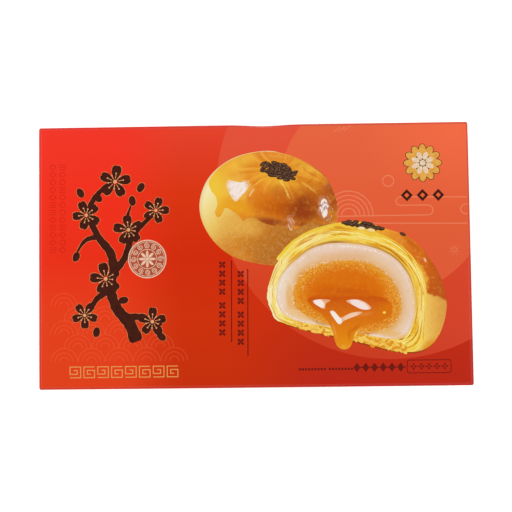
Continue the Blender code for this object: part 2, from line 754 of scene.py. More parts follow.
    def laminated(self, film: Laminate = Laminate(), folds: Socket | None = None) -> Material:
        """Puts the gloss film over the colour.

        Args:
            film: The film.
            folds: Where folding has stretched the film matt, from 0 to 1.

        Returns:
            The finished material.
        """
        spots = self.grain(film.ripple_mm, 3)
        inputs = {"Value": spots, "To Min": film.roughness_low, "To Max": film.roughness_high}
        roughness = add_node(self.tree, "ShaderNodeMapRange", inputs).outputs[0]
        if folds is not None:
            inputs = {0: folds, 2: roughness, 3: film.fold_roughness}
            roughness = add_node(self.tree, "ShaderNodeMix", inputs).outputs[0]
        fibres = self.times(self.grain(film.fibre_mm, 2), 0.12)
        inputs = {"Height": self.math("ADD", spots, fibres), "Distance": film.ripple_depth, "Strength": 0.6}
        bump = add_node(self.tree, "ShaderNodeBump", inputs).outputs[0]
        return self.shaded({"Roughness": roughness, "IOR": film.ior, "Normal": bump})

    def shaded(self, inputs: dict) -> Material:
        """Joins the colour to the surface.

        Args:
            inputs: The surface's other inputs.

        Returns:
            The finished material.
        """
        inputs = {"Base Color": self.colour, **inputs}
        surface = add_node(self.tree, "ShaderNodeBsdfPrincipled", inputs).outputs[0]
        add_node(self.tree, "ShaderNodeOutputMaterial", {"Surface": surface})
        return self.material


@dataclass(frozen=True)
class BoardPrint(Finish):
    """The red field of the print, offset-printed on white-lined board and gloss laminated.

    The eye sees a bright red that darkens to the right and down, partly as the print's own tone
    and partly as painted shade, and two large, paler discs of orange that overlap at the right
    and run on over the folds. The folds are darkened with painted shade.
    """

    outer_centre_mm: Point = (68.9, 34.4)
    outer_radius_mm: float = 87.6
    inner_centre_mm: Point = (67.1, 32.7)
    inner_radius_mm: float = 54.0
    edge_mm: float = 0.25
    fold_mm: float = 1.2

    slot = "printed_board"

    def material(self) -> Material:
        """Mixes the field, a little worn on its folds and darkened there with painted shade.

        Returns:
            The finished material.
        """
        mix = Recipe("offset_printed_gloss_laminated_board", "e83520", follows_blank=True)
        self.field(mix)
        return mix.laminated(folds=self.folds(mix))

    def field(self, mix: Recipe) -> None:
        """Mixes the red field and its two discs; its darkening to the right and down is partly painted
        shade.

        Args:
            mix: The recipe that takes them.
        """
        # Painted shade: these ramps and the darker layer on the outer disc make the red darker to the right
        # and down, partly the print's own tone and partly painted shade.
        up = mix.along((0, 1))
        right = mix.along((1, 0))
        left = mix.ramp(up, {-67: "e04019", -30: "e43e19", 0: "e92e14", 33: "f12f1a", 67: "f23626"}, MM)
        middle = mix.ramp(up, {-67: "c52f06", -30: "cf3006", 0: "d12a06", 33: "da350e", 67: "e6422b"}, MM)
        far = mix.ramp(up, {-67: "ba2614", -45: "be2a10", -20: "c83212"}, MM)
        mix.colour = left
        mix.over(middle, mix.eased(right, -72 * MM, -34 * MM))
        mix.over(far, mix.eased(right, -20 * MM, 40 * MM))
        outer = mix.ramp(up, {-55: "c83c20", -20: "d6411f", 40: "e0502f", 67: "e6513c"}, MM)
        mix.over(outer, self.disc(mix, self.outer_centre_mm, self.outer_radius_mm))
        mix.over("d84630", mix.times(self.disc(mix, self.outer_centre_mm, self.outer_radius_mm),
                                    mix.eased(right, 60 * MM, 110 * MM)), 0.5)
        inner = mix.ramp(up, {-20: "de5a34", 30: "e45f38", 67: "e86640"}, MM)
        mix.over(inner, self.disc(mix, self.inner_centre_mm, self.inner_radius_mm))
        corner = mix.rest(mix.eased(mix.within((108, 66), (62, 50)), 0.0, 1.0))
        mix.over("f66d45", corner, 0.8)

    def folds(self, mix: Recipe) -> Socket:
        """Wears the ink a little on the folds round the front panel, and darkens them with painted shade.

        Args:
            mix: The recipe that takes the wear.

        Returns:
            Where the folds are: 1 on them and 0 elsewhere.
        """
        near = []
        for direction, half in (((1, 0), Carton.HALF_MM[0]), ((0, 1), Carton.HALF_MM[1])):
            reach = mix.math("ABSOLUTE", mix.along(direction))
            off = mix.math("ABSOLUTE", mix.math("SUBTRACT", reach, (half + 0.1) * MM))
            near.append(mix.eased(off, self.fold_mm * 1.6 * MM, self.fold_mm * 0.8 * MM))
        folds = mix.math("MAXIMUM", *near)
        mix.speckled("f0a08a", 0.7, 0.6, 0.8, 0.2, folds)
        # Painted shade: a darker red over the rounded folds; the pale specks above are the wear.
        mix.over("b81a08", folds, 0.42)
        return folds

    def disc(self, mix: Recipe, centre_mm: Point, radius_mm: float) -> Socket:
        """Finds the inside of a printed disc with a crisp edge.

        Args:
            mix: The recipe.
            centre_mm: The disc's centre.
            radius_mm: Its radius.

        Returns:
            1 inside the disc and 0 outside.
        """
        share = self.edge_mm / radius_mm
        far = mix.eased(mix.within(centre_mm, (radius_mm, radius_mm)), 1 - share, 1 + share)
        return mix.rest(far)


@dataclass(frozen=True)
class RawBoard(Finish):
    """Cut edges of folding boxboard: pressed wood pulp, sheared by the cutting die, not coated.

    The eye sees a dull, warm grey-white line with short fibres in it.
    """

    slot = "raw_board"

    def material(self) -> Material:
        """Mixes the raw board.

        Returns:
            The finished material.
        """
        mix = Recipe("die_cut_boxboard_edge", "b9ad9a")
        mix.speckled("8f8474", 0.5, 0.45, 0.7, 0.7)
        mix.speckled("ddd4c4", 0.25, 0.5, 0.75, 0.6)
        return mix.shaded({"Roughness": 0.92, "IOR": 1.5})


@dataclass(frozen=True)
class FlatInk(Finish):
    """A flat ink under the film, with the slight unevenness of offset printing."""

    name: str
    base: str
    uneven: str
    grain_mm: float = 0.9
    strength: float = 0.5
    slot: str = "picture_print"

    def material(self) -> Material:
        """Mixes the ink.

        Returns:
            The finished material.
        """
        mix = Recipe(self.name, self.base)
        mix.speckled(self.uneven, self.grain_mm, 0.35, 0.75, self.strength)
        return mix.laminated()


@dataclass(frozen=True)
class SheerInk(Finish):
    """A thin ink that tints the red field and lets it show through, as one more pass of the press."""

    name: str
    tint: str
    strength: float
    slot: str = "gold_print"

    def material(self) -> Material:
        """Mixes the ink over the field.

        Returns:
            The finished material.
        """
        mix = Recipe(self.name, self.tint)
        # The field under the tint carries its painted shade, darker to the right and down.
        BoardPrint().field(mix)
        mix.over(self.tint, self.strength)
        mix.speckled(self.tint, 1.6, 0.4, 0.7, 0.3 * self.strength)
        return mix.laminated()


class Ink(Enum):
    """The inks of the ornaments, as the press lays them over the red field."""

    PALE_LINE = SheerInk("offset_print_pale_line", "f7a078", 0.36)
    WAVES = SheerInk("offset_print_faint_waves", "ff7448", 0.2, "printed_board")
    STAMPED = SheerInk("stamped_dark_red", "b00c04", 0.34, "dark_print")
    ROUNDEL_GROUND = FlatInk("offset_print_roundel_ground", "b8543a", "8e3a26", 1.0, 0.8, "printed_board")
    BRANCH_EDGE = FlatInk("offset_print_pale_gold_edge", "e8925c", "d9552f", 1.6, 0.9, "gold_print")
    BROWN = FlatInk("offset_print_dark_brown", "461d12", "2e100a", 1.6, 0.6, "dark_print")
    BLOSSOM_HEART = FlatInk("offset_print_blossom_heart", "e8a573", "d67f48", 1.0, 0.5, "gold_print")
    CREAM = FlatInk("offset_print_cream", "ecc8ac", "d8a286", slot="gold_print")
    GOLD = FlatInk("offset_print_gold", "e3a057", "cf7f38", slot="gold_print")
    WINE = FlatInk("offset_print_wine", "6a1610", "8a2014", slot="dark_print")
    ROSETTE_GOLD = FlatInk("offset_print_rosette_gold", "e6ab4e", "d1892f", 1.3, 0.7, "gold_print")
    ROSETTE_CREAM = FlatInk("offset_print_rosette_cream", "ecd3b4", "d9a878", 1.1, 0.6, "gold_print")
    LOZENGE_HEART = FlatInk("offset_print_lozenge_heart", "e8643a", "e06038", slot="printed_board")


@dataclass
class Carton:
    """The folded and glued board."""

    shell: Shell
    board: float = 0.5 * MM
    fold_radius: float = 1.1 * MM
    fold_steps: int = 4
    corner: float = 2.0 * MM
    gap: float = 0.5 * MM
    gap_depth: float = 3.0 * MM
    notch_radius: float = 9.0 * MM
    ledge_depth: float = 0.6 * MM
    ledge_height: float = 0.9 * MM
    cell: float = 5.0 * MM
    clear: float = 2.0 * MM
    slack: float = 0.05 * MM
    fold_zone: float = 0.5 * MM

    BLANK_MAP = "blank"
    HALF_MM = (110.0, 67.0)
    RAW = 1

    def build(self) -> Piece:
        """Models the carton and cuts its gaps, notches and seam.

        Returns:
            The finished piece.
        """
        s = self.shell
        piece = box("carton_board", (-s.length / 2, -s.width / 2, 0), (s.length / 2, s.width / 2, s.depth))
        for axis in range(3):
            sliced(piece, axis, self.cell)
        with editing(piece):
            bpy.ops.mesh.bisect(plane_co=(0, 0, s.depth - self.corner), plane_no=(0, 0, 1))
        for vertex in piece.data.vertices:
            vertex.co = s.bowed(vertex.co)
        self.round_folds(piece)
        for finish in (BoardPrint(), RawBoard()):
            piece.data.materials.append(material_of(finish))
        for cutter in self.cutters():
            cutter.data.materials.append(material_of(RawBoard()))
            worked(piece, "BOOLEAN", operation="DIFFERENCE", solver="EXACT", object=cutter,
                   material_mode="TRANSFER")
            bpy.data.objects.remove(cutter)
        self.bare_cut_edges(piece)
        self.map_blank(piece)
        only(piece)
        bpy.ops.object.shade_smooth_by_angle(angle=math.radians(35))
        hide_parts(NODE)
        return mounted(piece, BoardPrint())

    def round_folds(self, piece: Piece) -> None:
        """Rounds the folds round the front panel and the lower fold of the back panel.

        Args:
            piece: The bowed board.
        """
        s = self.shell
        side_zone = 2 * self.slack + max(s.knock_in, s.side_bow)
        with editing(piece, "EDGE"):
            bpy.ops.mesh.select_all(action="DESELECT")
            bpy.ops.object.mode_set(mode="OBJECT")
            for edge in piece.data.edges:
                a, b = (piece.data.vertices[i].co for i in edge.vertices)
                high = min(a.z, b.z) > s.depth - self.fold_zone
                low = max(a.z, b.z) < self.slack
                on_end = min(abs(a.x), abs(b.x)) > s.length / 2 - self.slack
                on_side = min(abs(a.y), abs(b.y)) > s.width / 2 - side_zone
                upright = on_end and on_side and min(a.z, b.z) > s.depth - 1.1 * self.corner
                edge.select = (high and (on_end or on_side)) or (low and on_side and a.y < 0) or upright
            bpy.ops.object.mode_set(mode="EDIT")
            bpy.ops.mesh.bevel(offset=self.fold_radius, segments=self.fold_steps, affect="EDGES")

    def cutters(self) -> Iterator[Piece]:
        """Makes what cuts the board.

        Yields:
            The boxes and cylinders of the gaps, the notches and the ledge of the seam.
        """
        s = self.shell
        half = s.width / 2 - self.board - self.gap
        for end in (-1, 1):
            inner, outer = end * (s.length / 2 - self.gap_depth), end * (s.length / 2 + self.clear)
            low_x, high_x = min(inner, outer), max(inner, outer)
            for side in (-1, 1):
                near, far = side * half, side * (half + self.gap)
                yield box("gap_cutter", (low_x, min(near, far), self.board + self.gap / 2),
                          (high_x, max(near, far), s.depth - 2 * self.fold_radius))
            yield box("tuck_cutter", (low_x, -half - self.gap / 2, self.board),
                      (high_x, half + self.gap / 2, self.board + self.gap))
            bpy.ops.object.select_all(action="DESELECT")
            depth = self.board + self.gap / 2 + self.clear
            bpy.ops.mesh.primitive_cylinder_add(
                vertices=48, radius=self.notch_radius, depth=depth,
                location=(end * s.length / 2, 0, self.board + self.gap / 2 - depth / 2),
            )
            bpy.ops.object.transform_apply(location=True, rotation=True, scale=True)
            yield bpy.context.object
        yield box("seam_cutter", (-s.length / 2 - self.clear, s.width / 2 - self.ledge_depth, -self.clear),
                  (s.length / 2 + self.clear, s.width / 2 + self.clear, self.ledge_height))

    def bare_cut_edges(self, piece: Piece) -> None:
        """Leaves the cut edges of the side panels and of the back panel unprinted.

        Args:
            piece: The cut board.
        """
        s = self.shell
        for face in piece.data.polygons:
            middle = face.center
            on_end = abs(face.normal.x) > 0.9 and abs(middle.x) > s.length / 2 - self.slack
            side_edge = abs(middle.y) > s.width / 2 - self.board - self.slack
            back_edge = middle.z < self.board + self.slack
            if on_end and (side_edge or back_edge) and middle.z < s.depth - 2 * self.fold_radius:
                face.material_index = self.RAW

    def map_blank(self, piece: Piece) -> None:
        """Maps each face to its place on the flat blank, in metres from the front panel's middle.

        Args:
            piece: The cut board.
        """
        s = self.shell
        blank = piece.data.uv_layers.new(name=self.BLANK_MAP)
        for face in piece.data.polygons:
            n = face.normal
            for corner in face.loop_indices:
                x, y, z = piece.data.vertices[piece.data.loops[corner].vertex_index].co
                if abs(n.x) > max(abs(n.y), abs(n.z)):
                    x += math.copysign(s.depth - z, n.x)
                elif abs(n.y) > abs(n.z):
                    y += math.copysign(s.depth - z, n.y)
                elif n.z < 0:
                    y = -s.width - s.depth - y
                blank.data[corner].uv = (x, y)


@dataclass(frozen=True)
class Band:
    """The band between two outlines round a centre, in millimetres."""

    centre: Point
    inner: Sequence[Point]
    outer: Sequence[Point]

    def reach(self, outline: Sequence[Point], turn: float) -> float:
        """Measures how far an outline lies from the centre.

        Args:
            outline: The closed outline.
            turn: The direction, in radians from the right.

        Returns:
            The distance.
        """
        c, s = math.cos(turn), math.sin(turn)
        local = [((x - self.centre[0]) * c + (y - self.centre[1]) * s,
                  (y - self.centre[1]) * c - (x - self.centre[0]) * s) for x, y in outline]
        for p, q in zip(local, [*local[1:], local[0]]):
            if (p[1] <= 0) != (q[1] <= 0):
                crossing = p[0] + (q[0] - p[0]) * p[1] / (p[1] - q[1])
                if crossing > 0:
                    return crossing
        return 1.0

    def at(self, turn_deg: float, share: float) -> Point:
        """Finds a point of the band.

        Args:
            turn_deg: Its direction from the centre, counted from the right.
            share: Its share of the way from the inner outline to the outer one.

        Returns:
            The point.
        """
        turn = math.radians(turn_deg)
        near, far = self.reach(self.inner, turn), self.reach(self.outer, turn)
        reach = near + share * (far - near)
        return self.centre[0] + reach * math.cos(turn), self.centre[1] + reach * math.sin(turn)

    def share(self, x: float, y: float) -> Point:
        """Finds how far across the band a point lies.

        Args:
            x: Its place to the right.
            y: Its place up.

        Returns:
            0 and its share of the way across, as the two numbers of a map.
        """
        x, y = x - self.centre[0], y - self.centre[1]
        turn = math.atan2(y, x)
        near, far = self.reach(self.inner, turn), self.reach(self.outer, turn)
        return 0.0, (math.hypot(x, y) - near) / max(1.0, far - near)


@dataclass(frozen=True)
class BareDough(Finish):
    """The printed picture of a baked pastry's bare skin, in four-colour screen.

    The eye sees cream at the left that turns golden and then brown towards the lower right, with
    the fine grain of flour.
    """

    def material(self) -> Material:
        """Mixes the picture's colours.

        Returns:
            The finished material.
        """
        mix = Recipe("four_colour_print_bare_dough", "ecc777")
        down = mix.along((0.756, -0.655))
        mix.colour = mix.ramp(down, {
            -41: "f6edb9", -35: "f2de96", -26: "edc866", -18: "e0a341", -10: "d1831c", -2: "c07018",
            8: "b36518",
        }, MM)
        mix.patch("e8b04a", (-6, 15), (15, 7), -14, 0.75)
        mix.patch("d5791a", (-8, -1), (17, 9), -30, 0.6)
        mix.patch("bd6214", (12, -4), (18, 5), 0, 0.6)
        mix.patch("c27d26", (26, 12), (12, 4), 6, 0.7)
        mix.patch("dd9b45", (41.5, 13), (5, 9), 0, 0.9)
        rim = mix.eased(mix.within((8, 24.2), (35.5, 29.6)), 0.93, 1.02)
        mix.over("cf7c1c", rim, 0.35)
        mix.patch("d98a2e", (-8, 1), (9, 3.4), -32, 0.6)
        baked = mix.eased(down, -38 * MM, -14 * MM)
        mix.speckled("f0c878", 0.5, 0.4, 0.75, 0.22, baked)
        mix.speckled("a8641e", 0.6, 0.4, 0.75, 0.24, baked)
        mix.speckled("f2d48c", 2.2, 0.45, 0.8, 0.16, baked)
        return mix.laminated()


@dataclass(frozen=True)
class EggGlaze(Finish):
    """The printed picture of an egg-washed top, in four-colour screen.

    The eye sees amber that is yellow at the left and deep brown at the lower right, creased round
    the seeds, with the soft white lights of a window.
    """

    middle_mm: Point = (13.5, 43.5)
    crease_count: float = 5.0

    FIELDS = (
        ("f3bb40", (-7, 48), (14, 7), 28, 0.9),
        ("f0c53c", (-22, 35), (17, 22), 10, 1.0),
        ("e9a21c", (-8, 25), (14, 7), -10, 0.8),
        ("e88f34", (10, 52), (22, 5), -4, 0.8),
        ("eeac30", (13, 38.5), (19, 8), -14, 0.9),
        ("efb43a", (27, 44), (12, 5), -28, 0.8),
        ("e47f22", (0, 33), (9, 8), 0, 0.6),
        ("c25a06", (12, 24.5), (19, 10), -8, 0.95),
        ("dd7a12", (5, 28), (8, 6), 0, 0.5),
        ("a94c12", (29, 27), (15, 13), -14, 0.85),
        ("b4541a", (14, 32), (9, 5), -20, 0.5),
        ("943a12", (25, 21.5), (15, 9.5), -8, 0.95),
        ("8e3612", (25.4, 26.4), (6.5, 5.4), 10, 0.6),
        ("a9481a", (40.5, 29), (8.5, 15), 12, 0.95),
        ("963e1d", (9, 16.6), (16, 3.6), -8, 0.95),
        ("b3601c", (37, 18), (8, 3.6), 0, 0.8),
        ("a04618", (24, 15.4), (5, 2.4), -4, 0.9),
    )
    CREASES = (
        ("f6d268", (14.8, 36.4), (3.4, 0.8), -52, 0.9),
        ("f6cf62", (17.2, 31.6), (4.6, 0.7), -68, 0.85),
        ("cb600e", (19.8, 33.4), (6.0, 1.5), -62, 0.5),
        ("f0b548", (28.5, 34.2), (7.0, 0.9), -38, 0.7),
        ("f3c552", (2.5, 37.2), (6.0, 0.7), 40, 0.5),
        ("f8dc94", (-1.2, 31.6), (2.9, 0.5), 62, 0.95),
        ("f2bc48", (-3, 44.2), (12, 0.8), 4, 0.5),
        ("d5771c", (-2, 42.4), (11, 0.9), 6, 0.45),
        ("d5701c", (30, 41), (9, 1.0), -30, 0.5),
        ("f3bb4a", (31, 43.2), (8, 0.7), -30, 0.5),
        ("e9a23a", (12, 50.4), (13, 0.7), -6, 0.5),
    )
    LIGHTS = (
        ("f3c552", (-8.2, 35.2), (9.2, 8.4), -30, 0.5, (0.5, 1.0), 0.5),
        ("c98a6a", (35.6, 23.8), (4.0, 6.8), 8, 0.5, (0.6, 1.0), 0.6),
        ("c88468", (19.0, 16.6), (2.9, 3.8), 0, 0.75, (0.3, 1.0), 1.4),
        ("9a3f52", (37.6, 34.8), (2.4, 2.0), 0, 0.35, (0.2, 1.0), 0.8),
    )

    def material(self) -> Material:
        """Mixes the picture's colours.

        Returns:
            The finished material.
        """
        mix = Recipe("four_colour_print_egg_glaze", "e58e26")
        for colour, centre, radii, turn, strength in self.FIELDS:
            mix.patch(colour, centre, radii, turn, strength, (0.15, 1.0))
        self.wrinkle(mix)
        for colour, centre, radii, turn, strength in self.CREASES:
            mix.patch(colour, centre, radii, turn, strength, (0.1, 1.0), 0.35)
        mix.speckled("f0b23c", 2.6, 0.5, 0.75, 0.24)
        baked = mix.eased(mix.along((0.8, -0.6)), -30 * MM, 0.0)
        mix.speckled("b4520e", 3.6, 0.5, 0.7, 0.3, baked)
        mix.speckled("a84a10", 1.5, 0.52, 0.75, 0.28, baked)
        for colour, centre, radii, turn, strength, edge, rough in self.LIGHTS:
            mix.patch(colour, centre, radii, turn, strength, edge, rough)
        return mix.laminated()

    def wrinkle(self, mix: Recipe) -> None:
        """Draws the faint wrinkles that run out from the middle of the top.

        Args:
            mix: The recipe that takes them.
        """
        x, y = (c * MM for c in self.middle_mm)
        apart = add_node(mix.tree, "ShaderNodeSeparateXYZ", {0: mix.plan}).outputs
        angle = mix.math("ARCTAN2", mix.math("SUBTRACT", apart[1], y), mix.math("SUBTRACT", apart[0], x))
        bent = mix.math("ADD", angle, mix.times(mix.grain(12, 1), 0.7))
        inputs = {"W": mix.times(bent, self.crease_count), "Scale": 1.0, "Detail": 3.0}
        rays = add_node(mix.tree, "ShaderNodeTexNoise", inputs, noise_dimensions="1D").outputs["Fac"]
        far = mix.within(self.middle_mm, (24, 15), -14)
        reach = mix.rest(mix.eased(far, 0.6, 1.2))
        mix.over("f6c650", mix.times(mix.eased(rays, 0.52, 0.72), reach), 0.3)
        mix.over("c4650f", mix.times(mix.eased(rays, 0.5, 0.32), reach), 0.32)


@dataclass(frozen=True)
class GlazeLight(Finish):
    """The printed picture of a window's light on glaze: white, broken by fine pinkish strokes."""

    def material(self) -> Material:
        """Mixes the picture's colours.

        Returns:
            The finished material.
        """
        mix = Recipe("four_colour_print_glaze_light", "eccaa2")
        mix.patch("f5e7de", (-8, 34), (5.9, 6.6), -8, 1.0, (0.55, 1.05), 0.5)
        mix.patch("f5eae4", (36.1, 23.6), (2.9, 6.2), 0, 1.0, (0.7, 1.1), 0.3)
        strokes = mix.eased(mix.grain(1.1, 2, (1.0, 0.45, 1.0)), 0.5, 0.62)
        mix.over("e8c4ae", strokes, 0.6)
        dark = mix.times(mix.eased(mix.grain(1.0, 2, (1.3, 0.6, 1.0)), 0.5, 0.56),
                        mix.eased(mix.along((1, 0)), 30 * MM, 33 * MM))
        mix.over("8f4a2c", dark, 0.85)
        mix.patch("e8b08c", (18.8, 16), (4, 6), 0, 0.7, (0.6, 1.0))
        return mix.laminated()


@dataclass(frozen=True)
class SidedCrust(Finish):
    """The printed picture of the cut pastry's outside: glazed above, bare and cream below."""

    def material(self) -> Material:
        """Mixes the picture's colours.

        Returns:
            The finished material.
        """
        mix = Recipe("four_colour_print_cut_crust", "eab642")
        across = mix.along((1, 0))
        skin = mix.ramp(across, {84: "f2d468", 88: "eabc58", 92: "e2a84a", 97: "d89846"}, MM)
        mix.over(skin, mix.eased(across, 76 * MM, 83 * MM))
        mix.patch("de931c", (88, -47.6), (9, 5), 38, 0.95)
        mix.patch("c05a10", (83, -50.4), (7, 2.2), 10, 0.8)
        glaze = mix.ramp(mix.along((0.8, -0.6)), {
            34: "f0c63e", 44: "eda32e", 54: "e28628", 64: "d87018", 74: "ce6216", 86: "bd5416",
        }, MM)
        wave = mix.times(mix.grain(7, 2), 8 * MM)
        height = mix.math("ADD", mix.along((0.48, 1)), wave)
        mix.over(glaze, mix.eased(height, 22.8 * MM, 25.0 * MM))
        mix.patch("f0b43e", (84.6, -11), (3.4, 9), 22, 0.85, (0.3, 1.0), 0.3)
        mix.patch("c2520f", (79.5, 5.2), (9, 2.2), -46, 0.65, (0.1, 1.0), 0.4)
        mix.patch("f6d2ae", (86.4, -3.4), (1.9, 0.7), -60, 0.8, rough=0.8)
        mix.patch("a8460f", (94.5, -11), (2.4, 8), 16, 0.6)
        mix.patch("b4500f", (90, -5), (9, 2.4), -62, 0.5, (0.1, 1.0), 0.3)
        mix.patch("8a2c14", (87.4, 0.4), (1.6, 0.7), -52, 0.85, (0.4, 1.0))
        mix.speckled("f5b84c", 1.6, 0.5, 0.75, 0.3)
        mix.speckled("b8601a", 1.2, 0.5, 0.8, 0.28)
        return mix.laminated()


@dataclass(frozen=True)
class FlakyFace(Finish):
    """The printed picture of the cut's flaky layers, which run round the filling.

    The eye sees pale and golden sheets in long streaks, with dark gaps between some of them.
    """

    streaks_round: float = 2.4
    streaks_across: float = 5.5

    def material(self) -> Material:
        """Mixes the picture's colours.

        Returns:
            The finished material.
        """
        mix = Recipe("four_colour_print_flaky_layers", "f1cf55")
        share = mix.mapped()[1]
        centre = (*(c * MM for c in CutPastry.CORE_CENTRE), 0.05)
        local = mix.vector("SUBTRACT", {0: mix.plan, 1: centre})
        way = mix.vector("SCALE", {0: mix.vector("NORMALIZE", {0: local}), "Scale": self.streaks_round})
        inputs = {2: mix.times(share, self.streaks_across)}
        depth = add_node(mix.tree, "ShaderNodeCombineXYZ", inputs).outputs[0]
        vector = mix.vector("ADD", {0: way, 1: depth})
        inputs = {"Vector": vector, "Scale": 1.0, "Detail": 5.0, "Roughness": 0.62, "Distortion": 0.5}
        streak = add_node(mix.tree, "ShaderNodeTexNoise", inputs).outputs["Fac"]
        mix.colour = mix.ramp(streak, {
            0.26: "b87018", 0.36: "dc961c", 0.43: "ecb930", 0.5: "f2ce4c", 0.58: "f5db68", 0.7: "f8ea98",
        })
        mix.patch("f8f3cc", (8, -24), (8, 16), 8, 0.75, (0.4, 1.0))
        mix.patch("f8f0bc", (13, -7), (6, 12), -26, 0.6)
        mix.patch("f8f0bc", (30, 7), (14, 3), 24, 0.4)
        mix.patch("f6e590", (84.2, -26), (2.6, 19), -2, 0.8, (0.4, 1.0), 0.3)
        mix.patch("ecd020", (15, 1.5), (9, 3), 46, 0.85)
        mix.patch("eeb92e", (85, -20), (6, 24), 4, 0.45)
        mix.patch("e6a32c", (52, -43), (32, 4), -12, 0.75)
        top = mix.eased(mix.along((0, 1)), -6 * MM, 6 * MM)
        mix.over("edc434", mix.times(mix.eased(share, 0.8, 0.96), top), 0.85)
        gap = mix.rest(mix.eased(share, 0.05, 0.2))
        shade = mix.ramp(mix.along((1, 0)), {
            14: "e2b45a", 28: "cc9238", 42: "a4681e", 50: "e0b04c", 55: "d8a444", 61: "c07e28",
            72: "b4701e", 78: "c88c34", 82: "dfb252",
        }, MM)
        above = mix.eased(mix.along((0.25, 1)), -14 * MM, -4 * MM)
        mix.over(shade, mix.times(gap, above), 0.9)
        mix.patch("f0cc36", (9.8, -24.5), (1.5, 8), 4, 0.8, (0.3, 1.0), 0.3)
        mix.speckled("fbf3c6", 0.7, 0.55, 0.8, 0.3)
        mix.speckled("d8962a", 0.8, 0.58, 0.85, 0.3)
        return mix.laminated()


@dataclass(frozen=True)
class RiceRing(Finish):
    """The printed picture of a sticky rice wrapping: glassy, pinkish white, amber by the filling."""

    def material(self) -> Material:
        """Mixes the picture's colours.

        Returns:
            The finished material.
        """
        mix = Recipe("four_colour_print_rice_wrap", "ecdac8")
        share = mix.mapped()[1]
        mix.colour = mix.ramp(share, {
            0.0: "dd8d24", 0.12: "df9a3c", 0.26: "e3b06c", 0.42: "e8c49c", 0.65: "ebcfb8",
            0.9: "ecd3c2", 1.0: "e4c09e",
        })
        clear = mix.times(mix.eased(share, 0.03, 0.2), mix.eased(mix.along((0.6, 1)), 0.0, 14 * MM))
        mix.over("e6c4a4", clear, 0.5)
        mix.patch("ecdcc6", (16, -15), (9, 14), 20, 0.55)
        mix.patch("ebd0c2", (46, 3), (26, 4), 0, 0.6)
        mix.patch("e4ab78", (50, 0.5), (16, 3), -4, 0.3)
        mix.patch("ecc48a", (21, -30), (12, 4), -18, 0.7)
        mix.patch("ebc178", (80.8, -21), (2.8, 15), 2, 0.7, (0.3, 1.0))
        mix.patch("e6a94c", (17.6, -21), (2.6, 9), 0, 0.6, (0.3, 1.0))
        mix.patch("e8b25a", (70, -41), (14, 3.4), -14, 0.7)
        mix.patch("d27a18", (54.6, -38.4), (7.5, 3.0), -16, 0.95, (0.3, 1.0), 0.4)
        mix.patch("c9862e", (33.6, -34.4), (6.5, 2.6), -22, 0.7, rough=0.4)
        bead = mix.times(mix.eased(share, 0.72, 0.8), mix.eased(share, 0.92, 0.84))
        mix.speckled("fbf3ec", 0.7, 0.48, 0.68, 0.75, bead)
        top = mix.eased(mix.along((-0.15, 1)), -16 * MM, -8 * MM)
        seam = mix.times(mix.eased(share, 0.14, 0.04), top)
        mix.speckled("fae0c4", 0.7, 0.46, 0.62, 0.8, seam)
        mix.speckled("f8deb0", 0.8, 0.52, 0.66, 0.75, mix.eased(share, 0.3, 0.08))
        mix.speckled("dfae7c", 2.5, 0.45, 0.75, 0.25)
        mix.patch("e2b48c", (46, -1.4), (19, 2.6), -3, 0.5, rough=0.3)
        return mix.laminated()


@dataclass(frozen=True)
class YolkPaste(Finish):
    """The printed picture of an egg-yolk filling: deep orange, with a crumbly, paler rim."""

    def material(self) -> Material:
        """Mixes the picture's colours.

        Returns:
            The finished material.
        """
        mix = Recipe("four_colour_print_yolk_paste", "d66a08")
        far = mix.mapped()[1]
        frayed = mix.math("ADD", far, mix.times(mix.math("SUBTRACT", mix.grain(2.4, 3), 0.5), 0.22))
        mix.colour = mix.ramp(frayed, {
            0.0: "d36405", 0.5: "d76806", 0.72: "da700a", 0.86: "de800e", 0.95: "e29220", 1.04: "e4a444",
        })
        mix.patch("dd7410", (44, -13), (18, 5), -4, 0.5)
        mix.patch("cc5a0a", (46, -19.4), (22, 3.4), -3, 0.7)
        mix.patch("d8720a", (64, -32), (12, 7), 30, 0.8)
        mix.patch("e08c18", (26, -28), (6, 7), 0, 0.6)
        rim = mix.times(mix.eased(far, 0.62, 0.96), mix.eased(mix.grain(9, 1), 0.25, 0.5))
        mix.speckled("f0ac3e", 1.3, 0.46, 0.64, 0.75, rim)
        mix.speckled("f8d08a", 0.7, 0.55, 0.72, 0.7, rim)
        mix.speckled("b9530a", 1.0, 0.5, 0.72, 0.6, rim)
        mix.speckled("e5851a", 3.0, 0.45, 0.75, 0.3)
        return mix.laminated()


@dataclass(frozen=True)
class YolkFlow(Finish):
    """The printed picture of the runny part of the filling, darker and smooth as syrup."""

    def material(self) -> Material:
        """Mixes the picture's colours.

        Returns:
            The finished material.
        """
        mix = Recipe("four_colour_print_yolk_flow", "d66a0c")
        mix.colour = mix.ramp(mix.along((0, 1)), {
            -49: "e9a02c", -45: "e48d12", -39: "e0800e", -33: "da7210", -26: "d2630e", -22.2: "ca5508",
            -20.2: "d46408",
        }, MM)
        mix.patch("d8720a", (68, -29), (9, 6), 20, 1.0, (0.3, 1.0))
        mix.patch("e79a3c", (40.2, -38.6), (1.1, 6), 14, 0.7, (0.1, 1.0))
        mix.patch("c8580c", (50.5, -37.5), (5, 1.3), 38, 0.6, (0.1, 1.0))
        mix.patch("bf520a", (47.6, -40.5), (1.4, 5), -4, 0.4, (0.1, 1.0))
        mix.patch("e58a3c", (56, -30.5), (6, 1.6), 12, 0.55, (0.1, 1.0))
        mix.patch("f0ae44", (44.4, -46.6), (1.4, 0.8), 0, 0.7, (0.1, 1.0))
        mix.speckled("dd7a1a", 2.2, 0.45, 0.75, 0.25)
        return mix.laminated()


